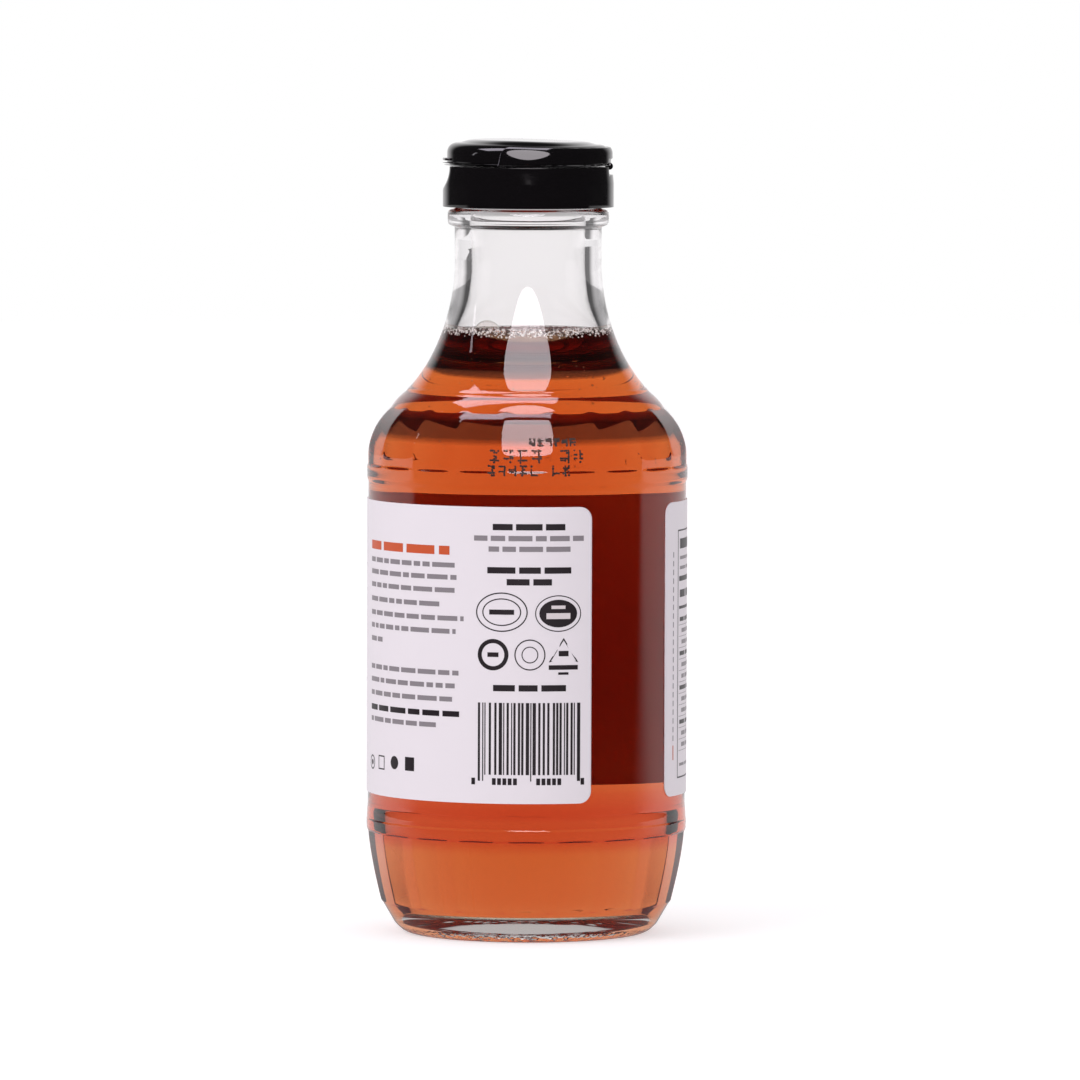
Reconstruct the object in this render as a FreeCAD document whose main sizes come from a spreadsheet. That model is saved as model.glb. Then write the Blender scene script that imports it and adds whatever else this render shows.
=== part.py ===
"""Maple syrup bottle: clear round glass bottle with faceted shoulder and heel,
filled with syrup, one wrap-around label, and a black cap with a hinged flip lid.

Millimetres. The bottle stands on z = 0 with its axis on the z axis; the label's
centred column faces -Y, the thumb tab of the lid -X and its hinge +X.
"""
import math
import os

import FreeCAD
import Part
import Sketcher

doc = FreeCAD.newDocument("SyrupBottle")

# ---------------------------------------------------------------- sizes
SIZES = [
    # foot, heel and body of the glass
    ("panel_radius", "38.3", "radius of the label panel"),
    ("bead_height", "0.35", "how far the two rings stand proud of the panel"),
    ("heel_taper", "3.4", "how much narrower the heel crease is than the panel"),
    ("foot_taper", "7.4", "how much narrower the foot is than the heel crease"),
    ("foot_width", "3", "width of the bearing ring"),
    ("foot_curve", "4.5", "radius of the foot's rounding"),
    ("punt_height", "1.5", "height of the hollow under the base"),
    ("heel_low", "7.8", "height of the heel crease"),
    ("heel_length", "17", "height of the heel facets"),
    ("heel_curve", "90", "radius of the heel facets' bulge"),
    ("low_ring", "5.8", "height of the lower ring"),
    ("panel_length", "78.6", "height of the label panel"),
    ("high_ring", "3.7", "height of the upper ring"),
    ("facet_count", "20", "facets round the shoulder and round the heel"),
    ("facet_depth", "0.45", "how far the ridges stand proud of the flats"),
    ("heel_low_radius", "=panel_radius - heel_taper", "radius of the heel crease"),
    ("foot_outer", "=heel_low_radius - foot_taper", "outer radius of the bearing ring"),
    ("foot_inner", "=foot_outer - foot_width", "inner radius of the bearing ring"),
    ("heel_high", "=heel_low + heel_length", "height where the heel facets end"),
    ("panel_low", "=heel_high + low_ring", "lower end of the label panel"),
    ("panel_high", "=panel_low + panel_length", "upper end of the label panel"),
    ("ring_top", "=panel_high + high_ring", "upper edge of the upper ring"),
    # shoulder, flare and neck
    ("shoulder_curve", "15.3", "bulge radius of the shoulder facets"),
    ("shoulder_height", "14.8", "height of the shoulder facets"),
    ("shoulder_taper", "6.7", "how much narrower the crease is than the panel"),
    ("collar_band", "3.4", "height of the collar band"),
    ("collar_taper", "2.7", "how much the collar band narrows"),
    ("flare_height", "27.7", "height of the concave flare"),
    ("neck_radius", "17.6", "radius of the neck"),
    ("neck_length", "11.6", "height of the straight neck"),
    ("bead_out", "2", "how far the neck bead stands out"),
    ("finish_height", "12.9", "height from the neck bead's foot to the lip"),
    ("crease_radius", "=panel_radius - shoulder_taper", "radius of the upper crease"),
    ("crease_height", "=ring_top + shoulder_height", "height of the upper crease"),
    ("collar_radius", "=crease_radius - collar_taper", "radius at the collar's top"),
    ("collar_height", "=crease_height + collar_band", "height of the collar's top"),
    ("neck_low", "=collar_height + flare_height", "height where the neck starts"),
    ("neck_high", "=neck_low + neck_length", "height of the foot of the neck bead"),
    ("lip_height", "=neck_high + finish_height", "height of the lip"),
    ("flare_in", "=collar_radius - neck_radius", "how much the flare narrows"),
    ("flare_curve", "=(flare_in * flare_in + flare_height * flare_height) / (2 * flare_in)",
     "radius of the flare, which meets the neck smoothly"),
    ("finish_radius", "=neck_radius - 0.3", "radius of the finish under the cap"),
    ("neck_bead", "=neck_radius + bead_out", "radius of the neck bead"),
    # inside of the glass
    ("neck_wall", "3.3", "thickness of the neck wall"),
    ("wall", "3.1", "thickness of the body wall"),
    ("base_glass", "5.1", "thickness of glass over the foot"),
    ("base_rise", "0.8", "rise of the inner base at its centre"),
    ("heel_inside", "9", "inner rounding at the base"),
    ("neck_bore", "=neck_radius - neck_wall", "inner radius of the neck"),
    ("inside_curve", "=flare_curve + neck_wall", "inner radius of the flare"),
    ("inner_collar", "=collar_radius - (flare_curve - flare_in) * neck_wall / flare_curve",
     "inner radius at the collar's top"),
    ("inner_collar_height", "=collar_height - flare_height * neck_wall / flare_curve",
     "inner height of the collar's top"),
    ("inner_crease", "=crease_radius - wall - 0.8", "inner radius of the crease"),
    ("inner_crease_height", "=crease_height - 0.9", "inner height of the crease"),
    ("inner_shoulder", "=shoulder_curve - 0.9 * wall", "inner bulge of the shoulder"),
    # syrup
    ("syrup_gap", "0.1", "clearance between syrup and glass"),
    ("headroom", "13.6", "syrup's surface below the straight neck"),
    ("syrup_level", "=neck_low - headroom", "height of the syrup's surface"),
    # label
    ("label_gap", "0.08", "clearance between label and glass"),
    ("label_thickness", "0.2", "thickness of the label"),
    ("margin_low", "3.6", "bare panel below the label"),
    ("margin_high", "4.3", "bare panel above the label"),
    ("label_corner", "3", "corner radius of the label"),
    ("gap_start", "23.6", "label gap from here, degrees from -Y toward +X"),
    ("gap_end", "59.4", "label gap to here, degrees from -Y toward +X"),
    ("label_low", "=panel_low + margin_low", "lower edge of the label"),
    ("label_high", "=panel_high - margin_high", "upper edge of the label"),
    # cap
    ("thread_space", "0.7", "space between the finish and the skirt"),
    ("cap_wall", "2.3", "thickness of the cap at the seam"),
    ("skirt_flare", "0.3", "how much wider the skirt is than the seam"),
    ("seat_gap", "0.02", "clearance between the cap's deck and the lip"),
    ("deck", "1.53", "thickness of the cap's deck"),
    ("skirt_length", "9.9", "height of the cap base below the seam"),
    ("seam_gap", "0.3", "gap between the base and the lid"),
    ("orifice", "3.2", "radius of the dispensing hole"),
    ("scoop_depth", "1.35", "depth of the thumb scoop at the seam"),
    ("scoop_curve", "9.5", "radius of the thumb scoop"),
    ("scoop_length", "5.6", "height of the thumb scoop"),
    ("cap_inner", "=finish_radius + thread_space", "inner radius of the skirt"),
    ("cap_radius", "=cap_inner + cap_wall", "radius of the cap at the seam and of the lid"),
    ("cap_radius_low", "=cap_radius + skirt_flare", "radius of the skirt"),
    ("seam", "=lip_height + seat_gap + deck + seam_gap / 2", "height of the seam and of the hinge axis"),
    ("cap_low", "=seam - skirt_length", "height of the cap's lower edge"),
    ("scoop_low", "=seam - scoop_length", "lower end of the thumb scoop"),
    # lid
    ("lid_height", "6.25", "height of the lid above the seam"),
    ("rear_drop", "0.45", "how much lower the rear of the lid is"),
    ("lid_corner", "3", "rounding of the lid's rim"),
    ("lid_wall", "1.4", "thickness of the lid"),
    ("front_inset", "0.6", "how far the front of the lid stands back"),
    ("front_angle", "145", "width of the front of the lid, degrees"),
    ("front_lift", "0.5", "groove under the front of the lid"),
    ("split", "5.9", "distance from the axis to the step across the lid"),
    ("tab_out", "0.4", "reach of the thumb tab beyond the seam"),
    ("tab_width", "12", "width of the thumb tab"),
    ("tab_thickness", "0.7", "thickness of the thumb tab"),
    ("tab_up", "1.2", "underside of the thumb tab above the seam"),
    ("hinge_bead", "0.85", "radius of the hinge bead"),
    ("hinge_in", "0.8", "depth of the hinge axis below the cap's side"),
    ("hinge_width", "10", "length of the hinge bead"),
    ("hinge_clear", "0.3", "clearance round the hinge bead"),
    ("notch_low", "1.9", "depth of the hinge notch below the seam"),
    ("notch_high", "1.7", "height of the hinge notch above the seam"),
    ("lid_top", "=seam + lid_height", "height of the raised front of the lid"),
    ("tab_reach", "=cap_radius + tab_out", "reach of the thumb tab from the axis"),
    ("tab_height", "=seam + tab_up", "underside of the thumb tab"),
    ("hinge_reach", "=cap_radius - hinge_in", "distance of the hinge axis from the axis"),
    ("notch_width", "=hinge_width + 6 * hinge_clear", "width of the hinge notch"),
]
sheet = doc.addObject("Spreadsheet::Sheet", "Sizes")
for row, (alias, value, note) in enumerate(SIZES, start=1):
    sheet.set("A%d" % row, note)
    sheet.set("B%d" % row, value)
    sheet.setAlias("B%d" % row, alias)
doc.recompute()


def s(text):
    """Prefixes every alias in an expression with the sheet's name."""
    out, word = "", ""
    names = {a for a, _, _ in SIZES}
    for ch in text + " ":
        if ch.isalnum() or ch == "_":
            word += ch
            continue
        out += ("Sizes." + word) if word in names else word
        word = ""
        out += ch
    return out.strip()


def value(body, text):
    """The number an expression has now."""
    got = body.evalExpression(s(text))
    return float(getattr(got, "Value", got))


def plane(body, role):
    """The body's own origin plane of that role."""
    for item in body.Origin.OriginFeatures:
        if getattr(item, "Role", "") == role or item.Name.startswith(role):
            return item
    raise RuntimeError("no " + role)


def new_sketch(body, name, role="XZ_Plane"):
    sketch = body.newObject("Sketcher::SketchObject", name)
    sketch.AttachmentSupport = [(plane(body, role), "")]
    sketch.MapMode = "FlatFace"
    return sketch


def outline(body, sketch, corners):
    """A closed outline through corners (x, y[, radius, side]); a radius makes the
    edge to the next corner an arc bulging to the left (+1) or right (-1)."""
    spots = [(value(body, c[0]), value(body, c[1])) for c in corners]
    first = sketch.GeometryCount
    count = len(corners)
    for i, corner in enumerate(corners):
        a, b = spots[i], spots[(i + 1) % count]
        va, vb = (FreeCAD.Vector(p[0], p[1], 0) for p in (a, b))
        if len(corner) > 2:
            radius = value(body, corner[2])
            half = (vb - va).Length / 2
            rise = radius - math.sqrt(max(radius * radius - half * half, 0))
            left = FreeCAD.Vector(-(vb - va).y, (vb - va).x, 0).normalize()
            middle = (va + vb) * 0.5 + left * (rise * corner[3])
            sketch.addGeometry(Part.Arc(va, middle, vb), False)
        else:
            sketch.addGeometry(Part.LineSegment(va, vb), False)
    ends = []
    for i, corner in enumerate(corners):
        # an arc turns counter-clockwise, so its start may be our far end
        if len(corner) > 2 and corner[3] > 0:
            ends.append((2, 1))
        else:
            ends.append((1, 2))
    for i in range(count):
        j = (i + 1) % count
        sketch.addConstraint(Sketcher.Constraint(
            "Coincident", first + i, ends[i][1], first + j, ends[j][0]))
    for i, corner in enumerate(corners):
        for axis, text, spot in (("X", corner[0], spots[i][0]), ("Y", corner[1], spots[i][1])):
            if abs(spot) < 1e-9:
                line = -2 if axis == "X" else -1
                sketch.addConstraint(Sketcher.Constraint(
                    "PointOnObject", first + i, ends[i][0], line))
                continue
            n = sketch.addConstraint(Sketcher.Constraint(
                "Distance" + axis, -1, 1, first + i, ends[i][0], spot))
            sketch.setExpression("Constraints[%d]" % n, s(text))
        if len(corner) > 2:
            n = sketch.addConstraint(Sketcher.Constraint(
                "Radius", first + i, value(body, corner[2])))
            sketch.setExpression("Constraints[%d]" % n, s(corner[2]))
    return sketch


def feature(body, kind, name, sketch, **settings):
    """A PartDesign feature on a sketch; text settings are expressions."""
    new = body.newObject("PartDesign::" + kind, name)
    new.Profile = sketch
    if kind in ("Revolution", "Groove"):
        new.ReferenceAxis = (sketch, ["V_Axis"])
        new.Angle = 360.0
    for key, setting in settings.items():
        if isinstance(setting, str) and key not in ("Type", "SideType"):
            new.setExpression(key, s(setting))
        else:
            setattr(new, key, setting)
    sketch.Visibility = False
    doc.recompute()
    return new


def removed(body, before, what):
    after = body.Shape.Volume
    if not after < before - 1e-6:
        raise RuntimeError(what + " removed nothing")
    return after


def new_body(name):
    return doc.addObject("PartDesign::Body", name)


# ---------------------------------------------------------------- glass
glass = new_body("bottle_glass")
profile = new_sketch(glass, "GlassProfile")
outline(glass, profile, [
    ("0", "punt_height"),
    ("foot_inner - punt_height", "punt_height"),
    ("foot_inner", "0"),
    ("foot_outer", "0", "foot_curve", -1),
    ("foot_outer + foot_curve * sin(52 * 1deg)", "foot_curve * (1 - cos(52 * 1deg))"),
    ("heel_low_radius", "heel_low"),
    ("heel_low_radius + facet_depth", "heel_low", "heel_curve", -1),
    ("panel_radius + bead_height - 0.1", "heel_high"),
    ("panel_radius + bead_height", "heel_high + 2.2"),
    ("panel_radius + bead_height", "panel_low - 1.5"),
    ("panel_radius", "panel_low"),
    ("panel_radius", "panel_high"),
    ("panel_radius + bead_height", "panel_high + 0.9"),
    ("panel_radius + bead_height", "ring_top", "shoulder_curve + 0.35", -1),
    ("crease_radius + facet_depth", "crease_height"),
    ("crease_radius - 0.05", "crease_height"),
    ("collar_radius", "collar_height", "flare_curve", 1),
    ("neck_radius", "neck_low"),
    ("neck_radius", "neck_high", "3.2", 1),
    ("neck_bead", "neck_high + 2.5"),
    ("finish_radius + 1.4", "neck_high + 4.3"),
    ("finish_radius", "neck_high + 4.5"),
    ("finish_radius", "lip_height - 0.8"),
    ("finish_radius - 0.8", "lip_height"),
    ("neck_bore + 0.7", "lip_height"),
    ("neck_bore", "lip_height - 0.7"),
    ("neck_bore", "neck_low", "inside_curve", -1),
    ("inner_collar", "inner_collar_height"),
    ("inner_crease", "inner_crease_height", "inner_shoulder", 1),
    ("panel_radius - wall", "ring_top + 0.6"),
    ("panel_radius - wall", "base_glass + heel_inside", "heel_inside", 1),
    ("panel_radius - wall - heel_inside", "base_glass"),
    ("0", "base_glass + base_rise"),
])
feature(glass, "Revolution", "GlassTurned", profile)
volume = glass.Shape.Volume

flats_up = new_sketch(glass, "ShoulderFlat")
outline(glass, flats_up, [
    ("panel_radius + 0.1", "ring_top", "shoulder_curve", -1),
    ("crease_radius", "crease_height"),
    ("crease_radius", "crease_height + 0.6"),
    ("panel_radius + 6", "crease_height + 0.6"),
    ("panel_radius + 6", "ring_top"),
])
cut_up = feature(glass, "Pocket", "ShoulderFacet", flats_up,
                 Midplane=True, Length="2.3 * panel_radius * tan(180deg / facet_count)")
volume = removed(glass, volume, "ShoulderFacet")

flats_low = new_sketch(glass, "HeelFlat")
outline(glass, flats_low, [
    ("heel_low_radius + 0.05", "heel_low - 0.3"),
    ("heel_low_radius + 0.05", "heel_low", "heel_curve", -1),
    ("panel_radius - 0.2", "heel_high"),
    ("panel_radius + 6", "heel_high"),
    ("panel_radius + 6", "heel_low - 0.3"),
])
cut_low = feature(glass, "Pocket", "HeelFacet", flats_low,
                  Midplane=True, Length="2.3 * panel_radius * tan(180deg / facet_count)")
volume = removed(glass, volume, "HeelFacet")

for cut, name in ((cut_up, "ShoulderFacets"), (cut_low, "HeelFacets")):
    ring = glass.newObject("PartDesign::PolarPattern", name)
    ring.Originals = [cut]
    ring.Axis = (plane(glass, "Z_Axis"), [""])
    ring.Angle = 360
    ring.Occurrences = 20
    ring.setExpression("Occurrences", "Sizes.facet_count")
    glass.Tip = ring
    doc.recompute()
    volume = removed(glass, volume, name)

# ---------------------------------------------------------------- syrup
syrup = new_body("syrup")
profile = new_sketch(syrup, "SyrupProfile")
rise = "sqrt(pow(inside_curve + syrup_gap; 2) - pow(headroom; 2))"
outline(syrup, profile, [
    ("0", "base_glass + base_rise + syrup_gap"),
    ("panel_radius - wall - heel_inside", "base_glass + syrup_gap",
     "heel_inside - syrup_gap", -1),
    ("panel_radius - wall - syrup_gap", "base_glass + heel_inside"),
    ("panel_radius - wall - syrup_gap", "ring_top + 0.6",
     "inner_shoulder - syrup_gap", -1),
    ("inner_crease - syrup_gap", "inner_crease_height - 0.7 * syrup_gap"),
    ("inner_collar - syrup_gap", "inner_collar_height - 0.7 * syrup_gap",
     "inside_curve + syrup_gap", 1),
    ("flare_curve + neck_radius - " + rise, "syrup_level"),
    ("0", "syrup_level"),
])
feature(syrup, "Revolution", "SyrupTurned", profile)

# ---------------------------------------------------------------- label
label = new_body("wrap_label")
profile = new_sketch(label, "LabelProfile")
outline(label, profile, [
    ("panel_radius + label_gap", "label_low"),
    ("panel_radius + label_gap + label_thickness", "label_low"),
    ("panel_radius + label_gap + label_thickness", "label_high"),
    ("panel_radius + label_gap", "label_high"),
])
wrap = feature(label, "Revolution", "LabelWrapped", profile,
               Angle="360 - (gap_end - gap_start)")
names = ["Edge%d" % (i + 1) for i, e in enumerate(wrap.Shape.Edges)
         if abs(e.Length - value(label, "label_thickness")) < 1e-3]
rounded = label.newObject("PartDesign::Fillet", "LabelCorners")
rounded.Base = (wrap, names)
rounded.setExpression("Radius", "Sizes.label_corner")
doc.recompute()
# one end of the turn lies on the sketch, so the body is turned to its place
label.setExpression("Placement.Rotation.Angle", "(Sizes.gap_end - 90) * 1deg")
doc.recompute()

# ---------------------------------------------------------------- cap base
base = new_body("cap_base")
profile = new_sketch(base, "BaseProfile")
outline(base, profile, [
    ("cap_inner", "cap_low"),
    ("cap_radius_low - 0.25", "cap_low"),
    ("cap_radius_low", "cap_low + 0.25"),
    ("cap_radius_low", "seam - 0.45 * skirt_length"),
    ("cap_radius", "seam - 1.2"),
    ("cap_radius", "seam - seam_gap / 2 - 0.2"),
    ("cap_radius - 0.2", "seam - seam_gap / 2"),
    ("orifice", "seam - seam_gap / 2"),
    ("orifice", "lip_height + seat_gap"),
    ("cap_inner", "lip_height + seat_gap"),
])
feature(base, "Revolution", "BaseTurned", profile)
volume = base.Shape.Volume

scoop = new_sketch(base, "ScoopOutline")
outline(base, scoop, [
    ("-(cap_radius_low + 0.05)", "scoop_low", "scoop_curve", 1),
    ("-(cap_radius - scoop_depth)", "seam + 0.4"),
    ("-(cap_radius_low + 2)", "seam + 0.4"),
    ("-(cap_radius_low + 2)", "scoop_low"),
])
feature(base, "Pocket", "ThumbScoop", scoop, Midplane=True, Length="30")
volume = removed(base, volume, "ThumbScoop")

notch = new_sketch(base, "NotchOutline")
outline(base, notch, [
    ("hinge_reach - hinge_bead - hinge_clear", "seam - notch_low"),
    ("cap_radius + 3", "seam - notch_low"),
    ("cap_radius + 3", "seam + 1"),
    ("hinge_reach - hinge_bead - hinge_clear", "seam + 1"),
])
feature(base, "Pocket", "HingeNotch", notch, Midplane=True, Length="notch_width")
volume = removed(base, volume, "HingeNotch")

# ---------------------------------------------------------------- flip lid
lid = new_body("flip_lid")
profile = new_sketch(lid, "LidProfile")
outline(lid, profile, [
    ("0", "lid_top - lid_wall"),
    ("cap_radius - lid_corner", "lid_top - lid_wall - 0.45"),
    ("cap_radius - lid_wall", "lid_top - lid_corner - 0.3"),
    ("cap_radius - lid_wall", "seam + seam_gap / 2"),
    ("cap_radius - 0.15", "seam + seam_gap / 2"),
    ("cap_radius", "seam + seam_gap / 2 + 0.15"),
    ("cap_radius", "lid_top - lid_corner", "lid_corner", -1),
    ("cap_radius - lid_corner", "lid_top"),
    ("0", "lid_top"),
])
feature(lid, "Revolution", "LidTurned", profile)
volume = lid.Shape.Volume

front = new_sketch(lid, "FrontSetBack")
outline(lid, front, [
    ("-(cap_radius - front_inset)", "lid_top - lid_corner - 0.4", "lid_corner", 1),
    ("-(cap_radius - front_inset - 1.1)", "lid_top - 0.72"),
    ("-(cap_radius + 2)", "lid_top - 0.72"),
    ("-(cap_radius + 2)", "seam - 1"),
    ("-(cap_radius - front_inset)", "seam - 1"),
])
feature(lid, "Groove", "FrontFace", front, Midplane=True, Angle="front_angle")
volume = removed(lid, volume, "FrontFace")

lift = new_sketch(lid, "FrontLift")
outline(lid, lift, [
    ("-(cap_radius + 2)", "seam - 1"),
    ("-(cap_radius - lid_wall * 0.7)", "seam - 1"),
    ("-(cap_radius - lid_wall * 0.7)", "seam + seam_gap / 2 + front_lift"),
    ("-(cap_radius + 2)", "seam + seam_gap / 2 + front_lift"),
])
feature(lid, "Groove", "FrontGroove", lift, Midplane=True, Angle="front_angle")
volume = removed(lid, volume, "FrontGroove")

rear = new_sketch(lid, "RearDrop")
outline(lid, rear, [
    ("-split", "lid_top - rear_drop"),
    ("cap_radius + 2", "lid_top - rear_drop"),
    ("cap_radius + 2", "lid_top + 1"),
    ("-(split - 0.7)", "lid_top + 1"),
])
feature(lid, "Pocket", "RearTop", rear, Midplane=True, Length="60")
volume = removed(lid, volume, "RearTop")

window = new_sketch(lid, "HingeWindow")
outline(lid, window, [
    ("hinge_reach + 0.4", "seam - 1"),
    ("cap_radius + 2", "seam - 1"),
    ("cap_radius + 2", "seam + notch_high"),
    ("hinge_reach + 0.4", "seam + notch_high"),
])
feature(lid, "Pocket", "HingeWindowCut", window, Midplane=True, Length="notch_width")
volume = removed(lid, volume, "HingeWindowCut")

tab = new_sketch(lid, "TabOutline")
outline(lid, tab, [
    ("-tab_reach", "tab_height"),
    ("-(cap_radius - lid_wall + 0.2)", "tab_height"),
    ("-(cap_radius - lid_wall + 0.2)", "tab_height + tab_thickness"),
    ("-tab_reach", "tab_height + tab_thickness"),
])
feature(lid, "Pad", "ThumbTab", tab, Midplane=True, Length="tab_width")

web = new_sketch(lid, "WebOutline")
outline(lid, web, [
    ("hinge_reach - 0.75", "seam"),
    ("hinge_reach + 0.3", "seam"),
    ("hinge_reach + 0.3", "seam + notch_high + 0.6"),
    ("hinge_reach - 0.75", "seam + notch_high + 0.6"),
])
feature(lid, "Pad", "HingeWeb", web, Midplane=True, Length="hinge_width")

bead = new_sketch(lid, "BeadCircle")
bead.addGeometry(Part.Circle(
    FreeCAD.Vector(value(lid, "hinge_reach"), value(lid, "seam"), 0),
    FreeCAD.Vector(0, 0, 1), value(lid, "hinge_bead")), False)
for kind, text in (("DistanceX", "hinge_reach"), ("DistanceY", "seam")):
    n = bead.addConstraint(Sketcher.Constraint(kind, -1, 1, 0, 3, value(lid, text)))
    bead.setExpression("Constraints[%d]" % n, s(text))
n = bead.addConstraint(Sketcher.Constraint("Radius", 0, value(lid, "hinge_bead")))
bead.setExpression("Constraints[%d]" % n, s("hinge_bead"))
feature(lid, "Pad", "HingeBead", bead, Midplane=True, Length="hinge_width")

# ---------------------------------------------------------------- checks and files
doc.recompute()
for item in doc.Objects:
    if "Invalid" in item.State or "Error" in item.State:
        raise RuntimeError(item.Name + " is in error: " + str(item.State))
os.makedirs("parts", exist_ok=True)
for node in (glass, syrup, label, base, lid):
    shape = node.Shape
    if shape.isNull() or not shape.isValid() or len(shape.Solids) != 1:
        raise RuntimeError(node.Name + " is not one sound solid: %d" % len(shape.Solids))
    shape.exportStep("parts/%s.step" % node.Name)
    box = shape.BoundBox
    print("%-14s volume %10.1f mm3  x %.2f..%.2f  y %.2f..%.2f  z %.2f..%.2f  faces %d" % (
        node.Name, shape.Volume, box.XMin, box.XMax, box.YMin, box.YMax,
        box.ZMin, box.ZMax, len(shape.Faces)))
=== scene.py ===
"""Maple syrup bottle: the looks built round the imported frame.

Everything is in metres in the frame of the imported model: the bottle stands on
z = 0 with its axis on z, the label's front column faces -Y, the lid's thumb tab
points to -X and its hinge lies toward +X. Shapes are worked out in millimetres
as whole arrays and turned into metres when they become a mesh.

Angles round the bottle are measured from -Y toward +X.
"""
import math

import bpy
import numpy as np
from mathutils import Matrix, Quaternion, Vector


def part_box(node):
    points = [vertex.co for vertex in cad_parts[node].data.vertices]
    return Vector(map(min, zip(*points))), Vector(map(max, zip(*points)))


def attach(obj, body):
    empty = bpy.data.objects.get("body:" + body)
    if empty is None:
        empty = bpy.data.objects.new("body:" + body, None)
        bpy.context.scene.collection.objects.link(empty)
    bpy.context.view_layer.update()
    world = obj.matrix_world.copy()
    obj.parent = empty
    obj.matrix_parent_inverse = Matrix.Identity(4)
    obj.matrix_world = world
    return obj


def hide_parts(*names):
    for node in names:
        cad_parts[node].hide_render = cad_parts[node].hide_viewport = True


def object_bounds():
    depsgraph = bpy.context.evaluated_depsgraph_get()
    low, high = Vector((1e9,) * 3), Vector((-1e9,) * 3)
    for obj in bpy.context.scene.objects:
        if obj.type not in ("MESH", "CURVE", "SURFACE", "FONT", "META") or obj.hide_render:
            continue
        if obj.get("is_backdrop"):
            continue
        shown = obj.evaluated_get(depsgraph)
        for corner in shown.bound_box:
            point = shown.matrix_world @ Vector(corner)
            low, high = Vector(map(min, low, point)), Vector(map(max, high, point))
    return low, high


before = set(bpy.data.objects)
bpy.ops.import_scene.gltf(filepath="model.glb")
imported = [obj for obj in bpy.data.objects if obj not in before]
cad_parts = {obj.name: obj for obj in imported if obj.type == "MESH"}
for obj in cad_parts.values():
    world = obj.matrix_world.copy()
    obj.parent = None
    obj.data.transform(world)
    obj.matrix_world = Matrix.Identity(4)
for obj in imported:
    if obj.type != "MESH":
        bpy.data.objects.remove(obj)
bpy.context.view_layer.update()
MM = 0.001
rng = np.random.default_rng(41)


# ------------------------------------------------------------ places from the frame
def span(node):
    """Lowest and highest corner of a CAD node, in millimetres."""
    low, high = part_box(node)
    return np.array(low) / MM, np.array(high) / MM


glass_high, syrup_high, lid_high = (span(node)[1] for node in ("bottle_glass", "syrup", "flip_lid"))
label_low, label_high = span("wrap_label")
base_low, base_high = span("cap_base")

BODY_RADIUS = glass_high[0]              # the two rings
LIP = glass_high[2]
LEVEL = syrup_high[2]
INSIDE_RADIUS = syrup_high[0] + 0.1
LABEL_RADIUS = label_high[1]
SKIRT_RADIUS = base_high[0]
DECK = base_high[2]
SEAM = DECK + 0.15
LID_TOP = lid_high[2]


# ------------------------------------------------------------ mesh helpers
def grid_faces(rows, columns, wrap):
    """Quads between neighbouring rows and columns; wrap joins the last column to the first."""
    i = np.arange(rows - 1)[:, None]
    j = np.arange(columns if wrap else columns - 1)[None, :]
    k = (j + 1) % columns
    a = i * columns + j
    b = i * columns + k
    return np.stack([a, b, b + columns, a + columns], -1).reshape(-1, 4)


def make_object(name, points, faces, materials, body=None, index=None):
    """A smooth mesh object from points in millimetres and a list of face arrays; index
    numbers each face's material."""
    mesh = bpy.data.meshes.new(name)
    points = np.asarray(points, float).reshape(-1, 3) * MM
    loops = np.concatenate([f.reshape(-1) for f in faces]).astype(np.int32)
    sizes = np.concatenate([np.full(len(f), f.shape[1]) for f in faces]).astype(np.int32)
    starts = np.concatenate([[0], np.cumsum(sizes)[:-1]]).astype(np.int32)
    mesh.vertices.add(len(points))
    mesh.vertices.foreach_set("co", points.ravel().astype(np.float32))
    mesh.loops.add(len(loops))
    mesh.loops.foreach_set("vertex_index", loops)
    mesh.polygons.add(len(sizes))
    mesh.polygons.foreach_set("loop_start", starts)
    mesh.polygons.foreach_set("loop_total", sizes)
    mesh.polygons.foreach_set("use_smooth", np.full(len(sizes), True))
    for material in materials:
        mesh.materials.append(material)
    if index is not None:
        mesh.polygons.foreach_set("material_index", np.asarray(index, np.int32))
    mesh.update()
    mesh.validate()
    obj = bpy.data.objects.new(name, mesh)
    bpy.context.scene.collection.objects.link(obj)
    if body:
        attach(obj, body)
    return obj


def polar(radius, angle, height):
    """Points (radius sin angle, -radius cos angle, height) for every radius, angle and
    height of three arrays that broadcast together."""
    radius, angle, height = np.broadcast_arrays(radius, angle, height)
    return np.stack([radius * np.sin(angle), -radius * np.cos(angle), height], -1)


def fan_faces(middle, first, columns):
    """Triangles between one point and a closed ring of points numbered from first on."""
    j = np.arange(columns)
    return np.stack([first + j, first + (j + 1) % columns, np.full(columns, middle)], -1)


def pole_faces(rows, columns):
    """Faces of a ring grid closed at both ends: the quads, then a fan from the first row
    to a point numbered rows x columns, and one from the last row to the point after it."""
    count = rows * columns
    return [grid_faces(rows, columns, True), fan_faces(count, 0, columns)[:, ::-1],
            fan_faces(count + 1, count - columns, columns)]


def pole_points(points):
    """The points of pole_faces from a grid whose first and last rows are one point each."""
    return np.concatenate([points[1:-1].reshape(-1, 3), points[0, :1], points[-1, :1]])


def closed_turned(name, radius, height, angle, materials, body, row_index=None,
                  centre=(0, 0, 0)):
    """A closed turned piece whose profile starts and ends on its axis: the first and
    last rows shrink to one point each and are closed with fans. row_index numbers each
    row's material, and centre is where the axis meets height 0."""
    points = polar(radius, angle, height) + np.array(centre)
    rows, columns = points.shape[:2]
    faces = pole_faces(rows - 2, columns)
    index = None
    if row_index is not None:
        row_index = np.asarray(row_index)
        index = np.concatenate([np.repeat(row_index[1:-2], columns),
                                np.full(columns, row_index[0]), np.full(columns, row_index[-2])])
    return make_object(name, pole_points(points), faces, materials, body, index)


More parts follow.
